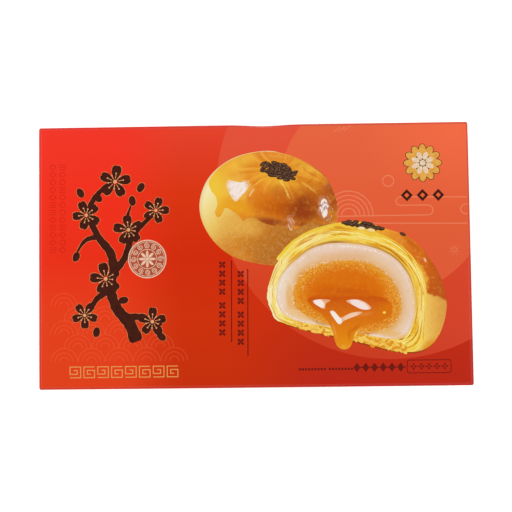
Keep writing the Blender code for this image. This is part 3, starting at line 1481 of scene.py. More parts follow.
@dataclass(frozen=True)
class SyrupLight(Finish):
    """The printed picture of a window's light on syrup: white, with a pink and amber edge."""

    def material(self) -> Material:
        """Mixes the picture's colours.

        Returns:
            The finished material.
        """
        mix = Recipe("four_colour_print_syrup_light", "e9a878")
        mix.patch("f6e8df", (32.6, -24.7), (3.6, 2.4), -35, 1.0, (0.6, 1.05), 0.2)
        mix.patch("f5e0da", (52.8, -25.6), (7.0, 2.4), -30, 1.0, (0.6, 1.05), 0.2)
        mix.patch("f6eadf", (41.0, -32.0), (5.2, 2.3), -52, 1.0, (0.6, 1.05), 0.2)
        mix.patch("f3cdb0", (48.6, -31.4), (5.6, 1.8), 22, 0.9, (0.5, 1.05), 0.2)
        return mix.laminated()


@dataclass
class Design:
    """A design of the print: it lies on one panel, ink by ink."""

    shell: Shell
    panel: Panel = Panel.FRONT

    PREFIX = ""

    def layer(self, name: str, level: int, cell: float = Print.CELL) -> Print:
        """Starts one ink, whose piece is named for the design, or else for the panel."""
        prefix = self.PREFIX or self.panel.name.lower()
        return Print(self.shell, self.panel, f"{prefix}_{name}", level, cell)

    def seed_heap(self, level: int, places: Sequence[tuple[Point, float]], size: Point) -> None:
        """Prints seeds that lie over each other, each a dark rim and a lighter middle.

        Args:
            level: The print level that they start from.
            places: Each seed's middle and turn, from the lowest to the topmost.
            size: A seed's half length and half width.
        """
        rims = self.layer("seeds_rims", level)
        hearts = self.layer("seeds_hearts", level)
        lift = 2 * Print.LAYER / MM / len(places)
        for k, (spot, turn) in enumerate(places):
            rims.cut(oval(spot, size, turn, 14), k * lift)
            heart = (size[0] * 0.84, size[1] * 0.7)
            hearts.cut(oval((spot[0] - 0.06, spot[1] + 0.08), heart, turn, 10), (k + 0.5) * lift)
        rims.laid(FlatInk("four_colour_print_seed_rim", "2c1810", "170b06", 0.8, 0.6))
        hearts.laid(FlatInk("four_colour_print_seed_heart", "4e3426", "7e5c46", 0.9, 0.9))


@dataclass
class WholePastry(Design):
    """The whole pastry of the picture: a low round of dough with an egg-glazed top and seeds."""

    seed_count: int = 34
    seed_centre: Point = (13.2, 42.9)
    seed_spread: Point = (9.6, 3.9)
    seed_turn: float = -19.0
    seed_size: Point = (1.85, 0.95)

    PREFIX = "pastry"
    SEED_STEP = 2.39996
    BODY_LINE = [
        (6, 53.2), (-7, 51), (-17, 45.6), (-24, 37.8), (-27.4, 27.5), (-26.2, 17.5), (-20.5, 7.5),
        (-11, -0.4), (2, -4.3), (15, -5.4), (28, -2.4), (38, 6), (42.6, 18), (42.2, 27.8), (37.6, 38.6),
        (28.8, 46.1), (18, 51.1),
    ]
    GLAZE_LINE = [
        (6, 52.9), (-7, 50.7), (-16.8, 45.3), (-22.4, 38.4), (-21.6, 33.6), (-19.2, 30.2), (-18.4, 26),
        (-19.6, 22.2), (-18.2, 19.4), (-16, 21.2), (-14.4, 24.2), (-11.2, 23), (-7.6, 20.2), (-5.2, 17.6),
        (-3.2, 18.8), (0.5, 19.2), (4.5, 16.6), (10, 14.9), (16, 14.6), (21.5, 13.2), (27, 15.6),
        (31.5, 16.4), (35, 15.4), (39, 16.2), (42.1, 17), (42.4, 24), (41.8, 28.8), (37.4, 38.3),
        (28.6, 45.8), (18, 50.8),
    ]

    LIGHT_LINES = [
        [(-13.1, 38.1), (-11.2, 38.3), (-8.8, 37.6), (-6.7, 37.3), (-5.0, 37.5), (-3.4, 36.8), (-2.3, 35.6),
         (-2.8, 34.2), (-4.1, 32.4), (-5.6, 30.9), (-7.3, 28.9), (-8.9, 27.5), (-10.2, 28.3), (-11.4, 30.5),
         (-12.7, 32.9), (-13.6, 35.6)],
        [(34.9, 27.9), (36.5, 28.1), (37.7, 26.9), (38.2, 24.8), (38.1, 22.8), (37.5, 20.6), (36.6, 19),
         (35.6, 18.6), (34.9, 20), (34.2, 22), (33.9, 24), (34.2, 26)],
    ]
    SPARK_LINES = [
        ([(35.6, 16.4), (37.2, 17.4), (38.5, 17.9), (38.6, 16.4)], 0.45),
        ([(-2.2, 30), (-0.6, 32.4), (0.4, 34)], 0.4),
        ([(37.3, 29.8), (38.5, 28.2), (39.3, 25.9)], 0.25),
        ([(40.2, 23.6), (40, 20.4), (38.9, 17.6)], 0.3),
        ([(16.9, 18.6), (18.6, 17.4), (19.4, 15.4)], 0.4),
        ([(18.2, 19), (20, 17.6), (20.8, 15.6)], 0.3),
        ([(17.6, 15.6), (18.2, 13.6), (19.1, 12.6), (19.6, 14.2)], 0.6),
        ([(-5.4, 38.4), (-2.6, 37.4), (-1.4, 35.2)], 0.3),
        ([(1, 52.7), (5, 53.1), (9, 53.1), (12.6, 52.6)], 0.3),
        ([(-1.6, 38.6), (-3.4, 37), (-4.6, 37.8)], 0.3),
        ([(33.2, 27), (33.6, 23.6), (33, 21)], 0.25),
    ]

    def build(self) -> None:
        """Prints the dough, the glaze, the lights on it and the seeds."""
        draw = random.Random(3)
        layers = (
            ("dough", smooth(self.BODY_LINE, 6, True), BareDough()),
            ("glaze", ragged(smooth(self.GLAZE_LINE, 5, True), 0.07, draw), EggGlaze()),
        )
        for level, (name, outline, finish) in enumerate(layers, 1):
            layer = self.layer(name, level)
            layer.cut(outline)
            layer.laid(finish)
        self.sparks(draw)
        places = []
        for i in range(self.seed_count):
            reach, around = math.sqrt((i + 0.5) / self.seed_count), i * self.SEED_STEP
            wide, high = (reach * spread for spread in self.seed_spread)
            spot = (wide * math.cos(around), high * math.sin(around))
            places.append((moved([spot], self.seed_centre, self.seed_turn)[0], draw.uniform(-60, 35)))
        draw.shuffle(places)
        self.seed_heap(3, places, self.seed_size)

    def sparks(self, draw: random.Random) -> None:
        """Prints the lights of a window and the thin sparks along creases and the rim.

        Args:
            draw: The seeded source of their ragged edges.
        """
        layer = self.layer("sparks", 3)
        for line, width in self.SPARK_LINES:
            line = smooth(line, 5)
            layer.cut(ragged(stroke(line, swelling(len(line), 0.08, width, 0.08)), 0.04, draw))
        for line in self.LIGHT_LINES:
            layer.cut(ragged(smooth(line, 3, True), 0.12, draw))
        layer.laid(GlazeLight())


@dataclass
class CutPastry(Design):
    """The cut half of the picture: flaky crust, a ring of sticky rice and a runny yolk filling."""

    level: int = 6

    PREFIX = "cut_pastry"
    BAND_CELL = 2.0 * MM
    CORE_CENTRE = (46.3, -21.5)
    CRUST_LINE = [
        (8.9, -10), (7.4, -14.6), (6.4, -20.4), (7.1, -25), (8.7, -28.8), (10.5, -32.6), (18.2, -35.7),
        (28.7, -38.6), (37.6, -40.8), (50.1, -43.8), (58.8, -46.1), (68.2, -48.6), (76.5, -49.8),
        (84, -49.1), (89.2, -46), (93, -41), (95.5, -34.8), (97, -27.4), (96.6, -21.6), (94.9, -14.6),
        (92.3, -8.3), (88.5, -2.2), (83.6, 4.2), (77.4, 8.9), (71.2, 11.4), (65.6, 13.1), (59.9, 15.2),
        (54.9, 16.2), (49.9, 16.5), (43.6, 16.1), (37.3, 14.9), (30.9, 13.1), (24.6, 10.3), (18.9, 6.6),
        (14.6, 2.2), (11.4, -1.6), (12.2, -3.2), (10.8, -5.2),
    ]
    FACE_LINE = [
        *CRUST_LINE[:13], (81, -49), (84.6, -45), (85.3, -38.5), (85.9, -31.6), (86.7, -23.5),
        (86.6, -16), (84.2, -8.4), (79.9, -1.2), (74.2, 4.5), (66.1, 9.2), (57.2, 12.6), (50.5, 14.6),
        (43.6, 15.5), *CRUST_LINE[30:],
    ]
    RING_LINE = [
        (40.9, 5.7), (52.2, 4.9), (62.8, 2.3), (70.9, -2.2), (76.5, -8.4), (79.8, -15.9), (81.2, -23.4),
        (80.9, -30.3), (79, -37.2), (76, -41.5), (72.2, -43.2), (67, -43), (58.9, -41.5), (50, -39.4),
        (42.7, -38), (33.9, -36), (27.7, -35), (21.4, -33.7), (17.1, -31.7), (13.3, -28.6), (11.4, -23.8),
        (11.1, -18.2), (12.6, -12.5), (16.5, -6.9), (21.9, -2), (28.2, 2.4), (34.6, 4.8),
    ]
    CORE_LINE = [
        (33.5, -33.9), (28.5, -32), (24.9, -30), (21.9, -27.4), (20.1, -24), (19.5, -20.4), (20.2, -16.8),
        (22.1, -13.2), (25, -9.8), (28.8, -7.1), (34, -5), (40.1, -3.9), (46.9, -3.4), (52.8, -3.9),
        (58.6, -5.7), (63.7, -8.5), (67.8, -12.3), (70.9, -16.8), (72.9, -21.8), (73.6, -26.5),
        (72.9, -30.1), (70.7, -33.6), (67, -36.5), (62.7, -38.6), (58.3, -39.4), (54, -39.7), (43, -37.5),
    ]
    FLOW_LINE = [
        (26.8, -22.6), (29.6, -27.2), (33.6, -29.8), (36.2, -32.9), (38, -36.1), (39.3, -39.5), (40, -43),
        (41.2, -46.1), (42.8, -47.6), (44.9, -48.2), (47.1, -47.6), (48.5, -46), (49.4, -43.2),
        (50.2, -40.4), (52, -38), (55.4, -36.2), (60, -34.9), (65.2, -33.4), (68.8, -30.4), (69.4, -26.2),
        (66.2, -22.9), (60.2, -21.2), (52, -20.2), (42, -19.8), (32, -20.2),
    ]

    CRACKS = [
        ([(72.3, -43.6), (75.5, -42.9), (78.8, -41.1)], 0.9),
        ([(75.5, -45.6), (79.1, -43.6), (81.7, -40.2), (82.8, -36)], 0.5),
        ([(64, 4.2), (69.6, 1.2), (74.6, -3.2), (77.6, -7)], 0.7),
        ([(62, -46), (68, -47.4), (73.4, -48)], 0.5),
    ]
    LIGHT_LINES = [
        [(29.3, -23.5), (34.1, -22.7), (38.3, -23.3), (35.9, -25), (35.3, -27.5), (32.2, -26.2)],
        [(46.2, -23.6), (52, -23.1), (56.1, -24.6), (58.9, -27.3), (57.4, -28.2), (54, -28), (49.9, -26)],
        [(38.1, -28.8), (39.8, -28.6), (41.9, -30.8), (43.5, -32.1), (48.4, -29.8), (54, -29.2), (53, -30.6),
         (45.5, -33.4), (42.7, -35.5), (40.3, -32.9), (38.3, -29.8)],
    ]

    def build(self) -> None:
        """Prints the half from its crust to its filling, then its flakes, seeds and lights."""
        draw = random.Random(21)
        core = smooth(self.CORE_LINE, 4, True)
        face, ring = smooth(self.FACE_LINE, 5, True), smooth(self.RING_LINE, 5, True)
        layers = Band(self.CORE_CENTRE, ring, face)
        wrap = Band(self.CORE_CENTRE, core, ring)
        filling = Band(self.CORE_CENTRE, oval(self.CORE_CENTRE, (0.5, 0.5)), core)
        for step, (name, outline, rough, finish, band) in enumerate((
            ("crust", smooth(self.CRUST_LINE, 5, True), 0.05, SidedCrust(), None),
            ("layers", face, 0.2, FlakyFace(), layers),
            ("rice_ring", ring, 0.1, RiceRing(), wrap),
            ("yolk_paste", core, 0.4, YolkPaste(), filling),
            ("yolk_flow", smooth(self.FLOW_LINE, 5, True), 0.0, YolkFlow(), None),
        )):
            layer = self.layer(name, self.level + step, self.BAND_CELL if band else Print.CELL)
            layer.cut(ragged(outline, rough, draw))
            layer.laid(finish, band.share if band else None)
        self.shade()
        self.flakes(layers)
        self.crumbs()
        self.seeds()
        self.lights()

    def shade(self) -> None:
        """Prints the thin shade under the cut's foot and the dark cracks between its layers."""
        layer = self.layer("shade", self.level - 1)
        foot = [(x, y - 0.3) for x, y in smooth(self.CRUST_LINE[5:15], 4)]
        layer.cut(stroke(foot, swelling(len(foot), 0.3, 1.0, 0.2)))
        layer.laid(FlatInk("four_colour_print_foot_shade", "a2440e", "7c3208"))
        cracks = self.layer("cracks", self.level + 3)
        for line, width in self.CRACKS:
            line = smooth(line, 4)
            cracks.cut(stroke(line, swelling(len(line), 0.1, width, 0.1)))
        cracks.laid(FlatInk("four_colour_print_crack", "c67c16", "a85f0c"))

    def flakes(self, band: Band) -> None:
        """Prints the long pale sheets and the golden gaps of the flaky layers.

        Args:
            band: The band of the layers, from the rice ring to the crust.
        """
        draw = random.Random(5)
        pale = self.layer("pale_flakes", self.level + 3)
        gold = self.layer("golden_flakes", self.level + 2)
        for layer, count, widest in ((gold, 22, 0.75), (pale, 26, 1.0)):
            for i in range(count):
                start = -50 + 275 * (i + draw.random()) / count
                length = draw.uniform(10, 30)
                share = draw.uniform(0.12, 0.82)
                drift = draw.uniform(-0.1, 0.1)
                line = [band.at(start + length * t / 12, share + drift * t / 12) for t in range(13)]
                width = widest * draw.uniform(0.35, 1.0)
                layer.cut(ragged(stroke(line, swelling(13, 0.2, width + 0.1, 0.2)), 0.045, draw))
        gold.laid(FlatInk("four_colour_print_golden_gap", "d8921a", "efbe40", 1.4, 0.7))
        pale.laid(FlatInk("four_colour_print_pale_sheet", "f8e68e", "f3d564", 1.4, 0.8))

    def crumbs(self) -> None:
        """Prints the torn crumbs along the cut's lower edge."""
        draw = random.Random(9)
        pale = self.layer("pale_crumbs", self.level + 5)
        gold = self.layer("golden_crumbs", self.level + 4)
        for layer, count in ((gold, 74), (pale, 58)):
            for i in range(count):
                x = 20 + 56 * (i + draw.random()) / count
                if 39 < x < 50.5:
                    continue
                deep = 1.5 if x > 50 else 0
                spot = (x, -34.0 - 0.25 * (x - 19) - draw.uniform(-0.6 - deep, 2.3))
                size = (draw.uniform(0.5, 1.9), draw.uniform(0.4, 1.0))
                layer.cut(ragged(oval(spot, size, draw.uniform(-50, 30), 9), 0.16, draw))
        gold.laid(FlatInk("four_colour_print_golden_crumb", "e69c26", "d08018", 0.9, 0.8))
        pale.laid(FlatInk("four_colour_print_pale_crumb", "f6ce62", "ecb03a", 0.8, 0.9))

    def seeds(self) -> None:
        """Prints the seeds on the crust, which stand a little over its edge."""
        draw = random.Random(17)
        places = []
        for i in range(30):
            t = (i + 0.5) / 30
            x = 45.8 + 19.4 * t
            y = 16.2 - 0.0125 * (x - 48) ** 2 - draw.uniform(-0.5, 2.1) * math.sin(math.pi * t) ** 0.5
            places.append(((x, y), draw.uniform(-45, 15)))
        draw.shuffle(places)
        places.append(((75.5, 9.7), -26))
        self.seed_heap(self.level + 5, places, (1.6, 0.8))
        pale = self.layer("pale_seeds", self.level + 8)
        for spot, turn in (((54.6, 13.0), -4), ((59.6, 12.0), -10)):
            pale.cut(oval(spot, (2.0, 0.8), turn, 16))
        pale.laid(FlatInk("four_colour_print_white_seed", "f6dfa0", "e6bb62", 0.9, 0.6))

    def lights(self) -> None:
        """Prints the lights on the runny filling."""
        layer = self.layer("lights", self.level + 6)
        for line in self.LIGHT_LINES:
            layer.cut(smooth(line, 4, True))
        layer.laid(SyrupLight())
        spark = self.layer("spark", self.level + 6)
        spark.cut(oval((65.4, -29.8), (0.85, 0.65), sides=12))
        spark.laid(FlatInk("four_colour_print_yellow_spark", "f8c850", "f8e090"))


@dataclass
class BrushBranch(Design):
    """A blossoming branch in dark brush strokes with a thin pale edge, at the front panel's left."""

    edge: float = 0.2
    fullness: float = 1.16

    PREFIX = "branch"
    STEMS = [
        ([(-60, -43), (-63.5, -34), (-70, -26), (-73, -16), (-71, -6)], (6.4, 4.6, 4.2)),
        ([(-71.4, -7), (-73, 2), (-79, 10), (-83.6, 19)], (4.0, 3.4, 2.6)),
        ([(-83.4, 18), (-83, 27), (-77, 35), (-70, 40)], (2.8, 2.2, 0.9)),
        ([(-71.6, -8), (-65.5, 0), (-62.4, 9), (-56, 17), (-49.6, 22)], (3.2, 2.6, 0.9)),
        ([(-73.4, -17), (-80, -21), (-84.6, -28), (-89.6, -31.5)], (3.0, 2.2, 0.8)),
        ([(-66, -31), (-58.4, -30.6), (-52, -34.6), (-47, -34.4)], (3.2, 2.2, 0.8)),
        ([(-79.6, 10.6), (-86, 8.6), (-90.4, 2.4)], (2.6, 1.8, 0.7)),
        ([(-62.4, 10), (-64.6, 18.6), (-62.4, 26.4)], (2.0, 1.6, 0.6)),
    ]
    BLOSSOMS = [
        ((-70.6, 38.6), 7.4, 10), ((-85.4, 21.6), 6.6, 40), ((-49.8, 23.6), 6.2, 0),
        ((-63.8, 13.8), 6.8, 25), ((-86.4, -29.4), 6.0, 55), ((-52, -33), 6.6, 15), ((-75.6, -11), 7.2, 30),
    ]
    BUDS = [
        ((-90.6, 0.4), 70), ((-61.8, 28.6), 100), ((-57.4, 35.4), 60), ((-79.4, 30.4), 130),
        ((-47.4, -40.6), -40), ((-80.4, -38), -100), ((-66.6, -22), 10), ((-88.4, 33), 120),
    ]
    BUD_SIZE = (2.6, 1.8)
    PETAL_LINE = [
        (0.12, 0), (0.34, 0.2), (0.62, 0.29), (0.88, 0.24), (0.97, 0.09), (0.92, 0), (0.97, -0.09),
        (0.88, -0.24), (0.62, -0.29), (0.34, -0.2),
    ]

    def build(self) -> None:
        """Prints the pale edges first, then the dark strokes, then the pale hearts of the blossoms."""
        pale = self.layer("pale_edges", 2)
        dark = self.layer("dark_strokes", 4)
        hearts = self.layer("blossom_hearts", 6)
        draw = random.Random(31)
        for line, widths in self.STEMS:
            line = smooth(line, 7)
            swell = [w * self.fullness for w in swelling(len(line), *widths)]
            swell[0], swell[-1] = swell[0] * 0.7, swell[-1] * 0.6
            self.brushed(dark, pale, line, swell, draw)
        for centre, size, turn in self.BLOSSOMS:
            size *= self.fullness
            for k in range(5):
                self.petal(dark, pale, centre, size, turn + 72 * k, draw)
            self.heart(hearts, centre, size, turn)
        for centre, turn in self.BUDS:
            pale.cut(oval(centre, tuple(half + self.edge for half in self.BUD_SIZE), turn, 20))
            dark.cut(oval(centre, self.BUD_SIZE, turn, 20))
        pale.laid(Ink.BRANCH_EDGE.value)
        dark.laid(Ink.BROWN.value)
        hearts.laid(Ink.BLOSSOM_HEART.value)

    def brushed(self, dark: Print, pale: Print, line: Outline, widths: Sequence[float],
                draw: random.Random) -> None:
        """Prints one brush stroke and its pale edge.

        Args:
            dark: The dark ink.
            pale: The pale ink under it.
            line: The middle of the stroke.
            widths: Its width at each point.
            draw: The seeded source of its uneven width.
        """
        rough = [w * draw.uniform(0.9, 1.1) for w in widths]
        dark.cut(stroke(line, rough))
        pale.cut(stroke(line, [w + 2 * self.edge for w in rough]))

    def petal(self, dark: Print, pale: Print, centre: Point, size: float, turn: float,
              draw: random.Random) -> None:
        """Prints one round petal with a small nick at its tip.

        Args:
            dark: The dark ink.
            pale: The pale ink under it.
            centre: The blossom's centre.
            size: The blossom's radius.
            turn: The petal's direction, in degrees from the right.
            draw: The seeded source of its uneven length.
        """
        scale = size * draw.uniform(0.94, 1.04)
        line = smooth(self.PETAL_LINE, 3, True)
        dark.cut(moved(line, centre, turn, scale))
        wide = 1 + 3 * self.edge / size
        pale.cut(moved([(x, y * wide) for x, y in line], centre, turn, scale + self.edge))

    def heart(self, hearts: Print, centre: Point, size: float, turn: float) -> None:
        """Prints the pale heart of a blossom, with its stamens.

        Args:
            hearts: The ink of the hearts.
            centre: The blossom's centre.
            size: The blossom's radius.
            turn: The direction of its first petal, in degrees from the right.
        """
        hearts.cut(oval(centre, (size * 0.12, size * 0.12), sides=12))
        for k in range(10):
            near, far = moved([(size * 0.2, 0), (size * (0.42 if k % 2 else 0.5), 0)], centre, turn + 36 * k)
            hearts.cut(stroke([near, far], [0.32, 0.2]))
            hearts.cut(oval(far, (0.42, 0.42), sides=8))


@dataclass
class Ornaments(Design):
    """The ornaments that stand on more than one panel: roundel, key rows, rosette and rules."""

    def roundel(self, centre: Point, radius: float, level: int = 1) -> None:
        """Prints a pale roundel: two rings, a ring of curls and a flower.

        Args:
            centre: Its centre.
            radius: Its radius.
            level: The print level that it starts from.
        """
        layer = self.layer("roundel", level + 1)
        ground = self.layer("roundel_ground", level)
        ground.cut(oval(centre, (radius - 0.1, radius - 0.1), sides=64))
        ground.laid(Ink.ROUNDEL_GROUND.value)
        layer.ring(centre, radius, 0.056 * radius)
        layer.ring(centre, 0.9 * radius, 0.026 * radius)
        for k in range(12):
            spot = moved([(0.7 * radius, 0)], centre, 30 * k)[0]
            curl = [(r * math.cos(a), r * math.sin(a)) for r, a in
                    ((1.53 - 1.27 * i / 18, math.radians(30 * k + 35 * i)) for i in range(19))]
            layer.cut(stroke(moved(curl, spot, 0, 0.1 * radius), 0.032 * radius))
        layer.ring(centre, 0.52 * radius, 0.03 * radius)
        for k in range(8):
            spot = moved([(0.265 * radius, 0)], centre, 45 * k)[0]
            layer.cut(oval(spot, (0.18 * radius, 0.067 * radius), 45 * k, 16))
        layer.cut(oval(centre, (0.08 * radius, 0.08 * radius), sides=16))
        layer.laid(Ink.CREAM.value)

    def key_rows(self, starts: Sequence[Point], count: int, size: float, pitch: float) -> None:
        """Prints rows of square key spirals in gold.

        Args:
            starts: The left end of each row.
            count: The number of spirals in a row.
            size: The side of a spiral.
            pitch: The distance between the starts of two spirals.
        """
        layer = self.layer("key_rows", 2)
        grid = size / 5
        path = [(0, 0), (5, 0), (5, 5), (0, 5), (0, 1.6), (3.4, 1.6), (3.4, 3.4), (1.7, 3.4)]
        unit = layer.cut(stroke([(x * grid - size / 2, y * grid - size / 2) for x, y in path], 0.09 * size))
        for x, y in starts:
            for k in range(count):
                layer.copied(unit, (x + size / 2 + k * pitch, y), 180 * (k % 2))
        bpy.data.objects.remove(layer.parts.pop(0))
        layer.laid(Ink.GOLD.value)

    def rosette(self, centre: Point, radius: float) -> None:
        """Prints a gold rosette of petals with a dark line and a cream heart.

        Args:
            centre: Its centre.
            radius: The radius of the ring of petals and their tips.
        """
        dark = self.layer("rosette_line", 2)
        gold = self.layer("rosette", 4)
        heart = self.layer("rosette_heart", 6)
        for ring, (reach, size, count) in enumerate(((0.7, 0.3, 12), (0.4, 0.22, 8))):
            for k in range(count):
                turn = (k + ring / 2) * 360 / count
                spot = moved([(radius * reach, 0)], centre, turn)[0]
                petal = (radius * size, radius * size * 0.62)
                dark.cut(oval(spot, (petal[0] + 0.3, petal[1] + 0.3), turn, 20))
                layer = gold if ring == 0 else heart
                layer.cut(oval(spot, petal, turn, 20))
        dark.cut(oval(centre, (radius * 0.66, radius * 0.66), sides=40))
        heart.cut(oval(centre, (radius * 0.16, radius * 0.16), sides=20))
        dark.laid(Ink.BROWN.value)
        gold.laid(Ink.ROSETTE_GOLD.value)
        heart.laid(Ink.ROSETTE_CREAM.value)

    def rules(self, lines: Sequence[tuple[Point, Point]], width: float, ink: Ink = Ink.GOLD) -> None:
        """Prints straight rules.

        Args:
            lines: Both ends of each rule.
            width: Their width.
            ink: Their ink.
        """
        layer = self.layer(f"{ink.name.lower()}_rules", 2)
        for start, end in lines:
            layer.cut(stroke([start, end], width))
        layer.laid(ink.value)


@dataclass
class FrontMarks(Design):
    """The small marks of the front panel: stamped marks, flower columns, lozenges and foot marks."""

    def build(self) -> None:
        """Prints the front panel's roundel, key row and rosette, and then the small marks."""
        ornaments = Ornaments(self.shell, Panel.FRONT)
        ornaments.roundel((-54.3, -1.2), 9.8, 7)
        ornaments.key_rows([(-94.0, -58.2)], 8, 5.4, 7.05)
        ornaments.rosette((86.4, 46.0), 9.6)
        self.stamped_marks()
        self.columns()
        self.lozenges()
        self.foot_marks()

    def stamped_marks(self) -> None:
        """Prints two faint columns of small marks, pressed in with a darker ink."""
        layer = self.layer("stamped_marks", 1)
        draw = random.Random(41)
        for column in (-102.6, -97.6):
            for k in range(12):
                x, y = column, 46.4 - 3.86 * k
                kind = draw.randrange(3)
                if kind == 0:
                    layer.ring((x, y), 1.55, 0.5, 16)
                elif kind == 1:
                    lozenge = [(x - 1.7, y), (x, y - 1.5), (x + 1.7, y), (x, y + 1.5)]
                    for p, q in zip(lozenge, [*lozenge[1:], lozenge[0]]):
                        layer.cut(stroke([p, q], 0.5))
                else:
                    for row in (-1.2, 0, 1.2):
                        layer.cut(stroke([(x - 1.7, y + row), (x + 1.7, y + row)], 0.5))
        layer.laid(Ink.STAMPED.value)

    def columns(self) -> None:
        """Prints two upright rules, each beside a column of small four-leaved flowers."""
        layer = self.layer("flower_columns", 2)
        leaf = [(0.25, 0), (0.9, 0.62), (1.75, 0.5), (2.1, 0), (1.75, -0.5), (0.9, -0.62)]
        for (x, top), start, end in (((-16.2, -4.6), (-11.5, -2.5), (-11.9, -43.8)),
                                     ((-6.9, -9.4), (-3.3, -6.9), (-3.7, -50.9))):
            layer.cut(stroke([start, end], 0.5))
            for k in range(8):
                spot = (x - 0.05 * k, top - 4.55 * k - (2.4 if k > 3 else 0))
                for quarter in range(4):
                    layer.cut(moved(smooth(leaf, 2, True), spot, 45 + 90 * quarter))
                layer.cut(oval(spot, (0.34, 0.34), sides=8))
        layer.laid(Ink.WINE.value)

    def lozenges(self) -> None:
        """Prints three small dark lozenges under the rosette."""
        layer = self.layer("lozenges", 3)
        hearts = self.layer("lozenge_hearts", 4)
        for k in range(3):
            x = 78 + 8 * k
            layer.cut([(x - 3, 29.5), (x, 32.6), (x + 3, 29.5), (x, 26.4)])
            hearts.cut([(x - 1.3, 29.5), (x, 30.8), (x + 1.3, 29.5), (x, 28.2)])
        layer.laid(Ink.BROWN.value)
        hearts.laid(Ink.LOZENGE_HEART.value)

    def foot_marks(self) -> None:
        """Prints the small marks along the panel's foot: dashes, lozenges, beads and an outlined tag."""
        layer = self.layer("foot_marks", 2)
        for k in range(17):
            x = 21.8 + 1.58 * k + (1.0 if k > 8 else 0)
            layer.cut(stroke([(x, -57.9), (x + 1.05, -57.9)], 1.1))
        for k in range(6):
            x = 51.2 + 4.4 * k
            layer.cut([(x - 1.8, -57.3), (x, -55), (x + 1.8, -57.3), (x, -59.6)])
            layer.cut(oval((x + 2.2, -57.3), (0.4, 0.4), sides=10))
        tag = (87.5, -57.1)
        corners = [((9.9, 2.1), 0), ((-9.9, 2.1), 90), ((-9.9, -2.1), 180), ((9.9, -2.1), 270)]
        layer.frame([p for spot, turn in corners
                     for p in arc((tag[0] + spot[0], tag[1] + spot[1]), 1.3, turn, turn + 90, 6)], 0.36)
        for k in range(5):
            spot = (tag[0] - 7.8 + 3.9 * k, tag[1])
            for quarter in range(4):
                layer.cut(moved([(0.3, 0), (1.0, 0.55), (1.75, 0), (1.0, -0.55)], spot, 90 * quarter))
        layer.laid(Ink.WINE.value)


@dataclass
class CloudLines(Design):
    """Thin pale cloud bands, ripples, a ring and a spark over the pale discs."""

    line: float = 0.6

    def build(self) -> None:
        """Prints the lines."""
        layer = self.layer("cloud_lines", 1)
        right = 108.6
        layer.ring((68.7, 37.0), 3.1, self.line)
        for radius in (12.4, 10.2, 8.0, 5.8, 3.6):
            layer.cut(stroke(arc((48.3, 19.6), radius, 0, 180, 28), self.line))
        cloud = [(34, 19.2), (88.6, 19.4)]
        cloud += arc((88.6, 21.9), 2.5, -90, 90, 10)[1:]
        cloud += [(74.6, 24.4)]
        cloud += arc((74.6, 26.6), 2.15, -90, -270, 10)[1:]
        cloud += [(right, 28.3)]
        layer.cut(stroke(cloud, self.line))
        layer.cut(stroke(arc((107.6, 22.2), 2.4, 90, 270, 12), self.line))
        for y in (24.6, 19.8):
            layer.cut(stroke([(107.6, y), (right, y)], self.line))
        layer.cut(stroke([(60, 15.5), (right, 14.9)], self.line))
        for k in range(8):
            near, far = moved([(0.7, 0), (2.7, 0)], (101.6, 1.5), 22.5 + 45 * k)
            layer.cut(stroke([near, far], [0.4, 0.22]))
        for k in range(3):
            x = 41.4 + 2.6 * k
            layer.cut(stroke([(x, 62.4 + 0.3 * k), (x + 3.6, 65.2 + 0.3 * k)], 0.4))
        layer.laid(Ink.PALE_LINE.value)


@dataclass
class Waves(Design):
    """A faint corner of wave scales, tone on tone, that steps down to the right."""

    start: Point = (-97.0, -52.9)
    pitch: float = 14.0
    rows: int = 5
    line: float = 0.45

    RADII = (6.8, 4.6, 2.4)

    def build(self) -> None:
        """Prints the scales, each row half a scale off the one below it and one scale shorter."""
        layer = self.layer("wave_scales", 1)
        left, foot = self.start
        for row in range(self.rows):
            for k in range(self.rows - row):
                centre = (left + self.pitch * (k + row % 2 / 2), foot + self.pitch * row / 2)
                for radius in self.RADII:
                    layer.cut(stroke(arc(centre, radius, 0, 180, 20), self.line))
        layer.laid(Ink.WAVES.value)


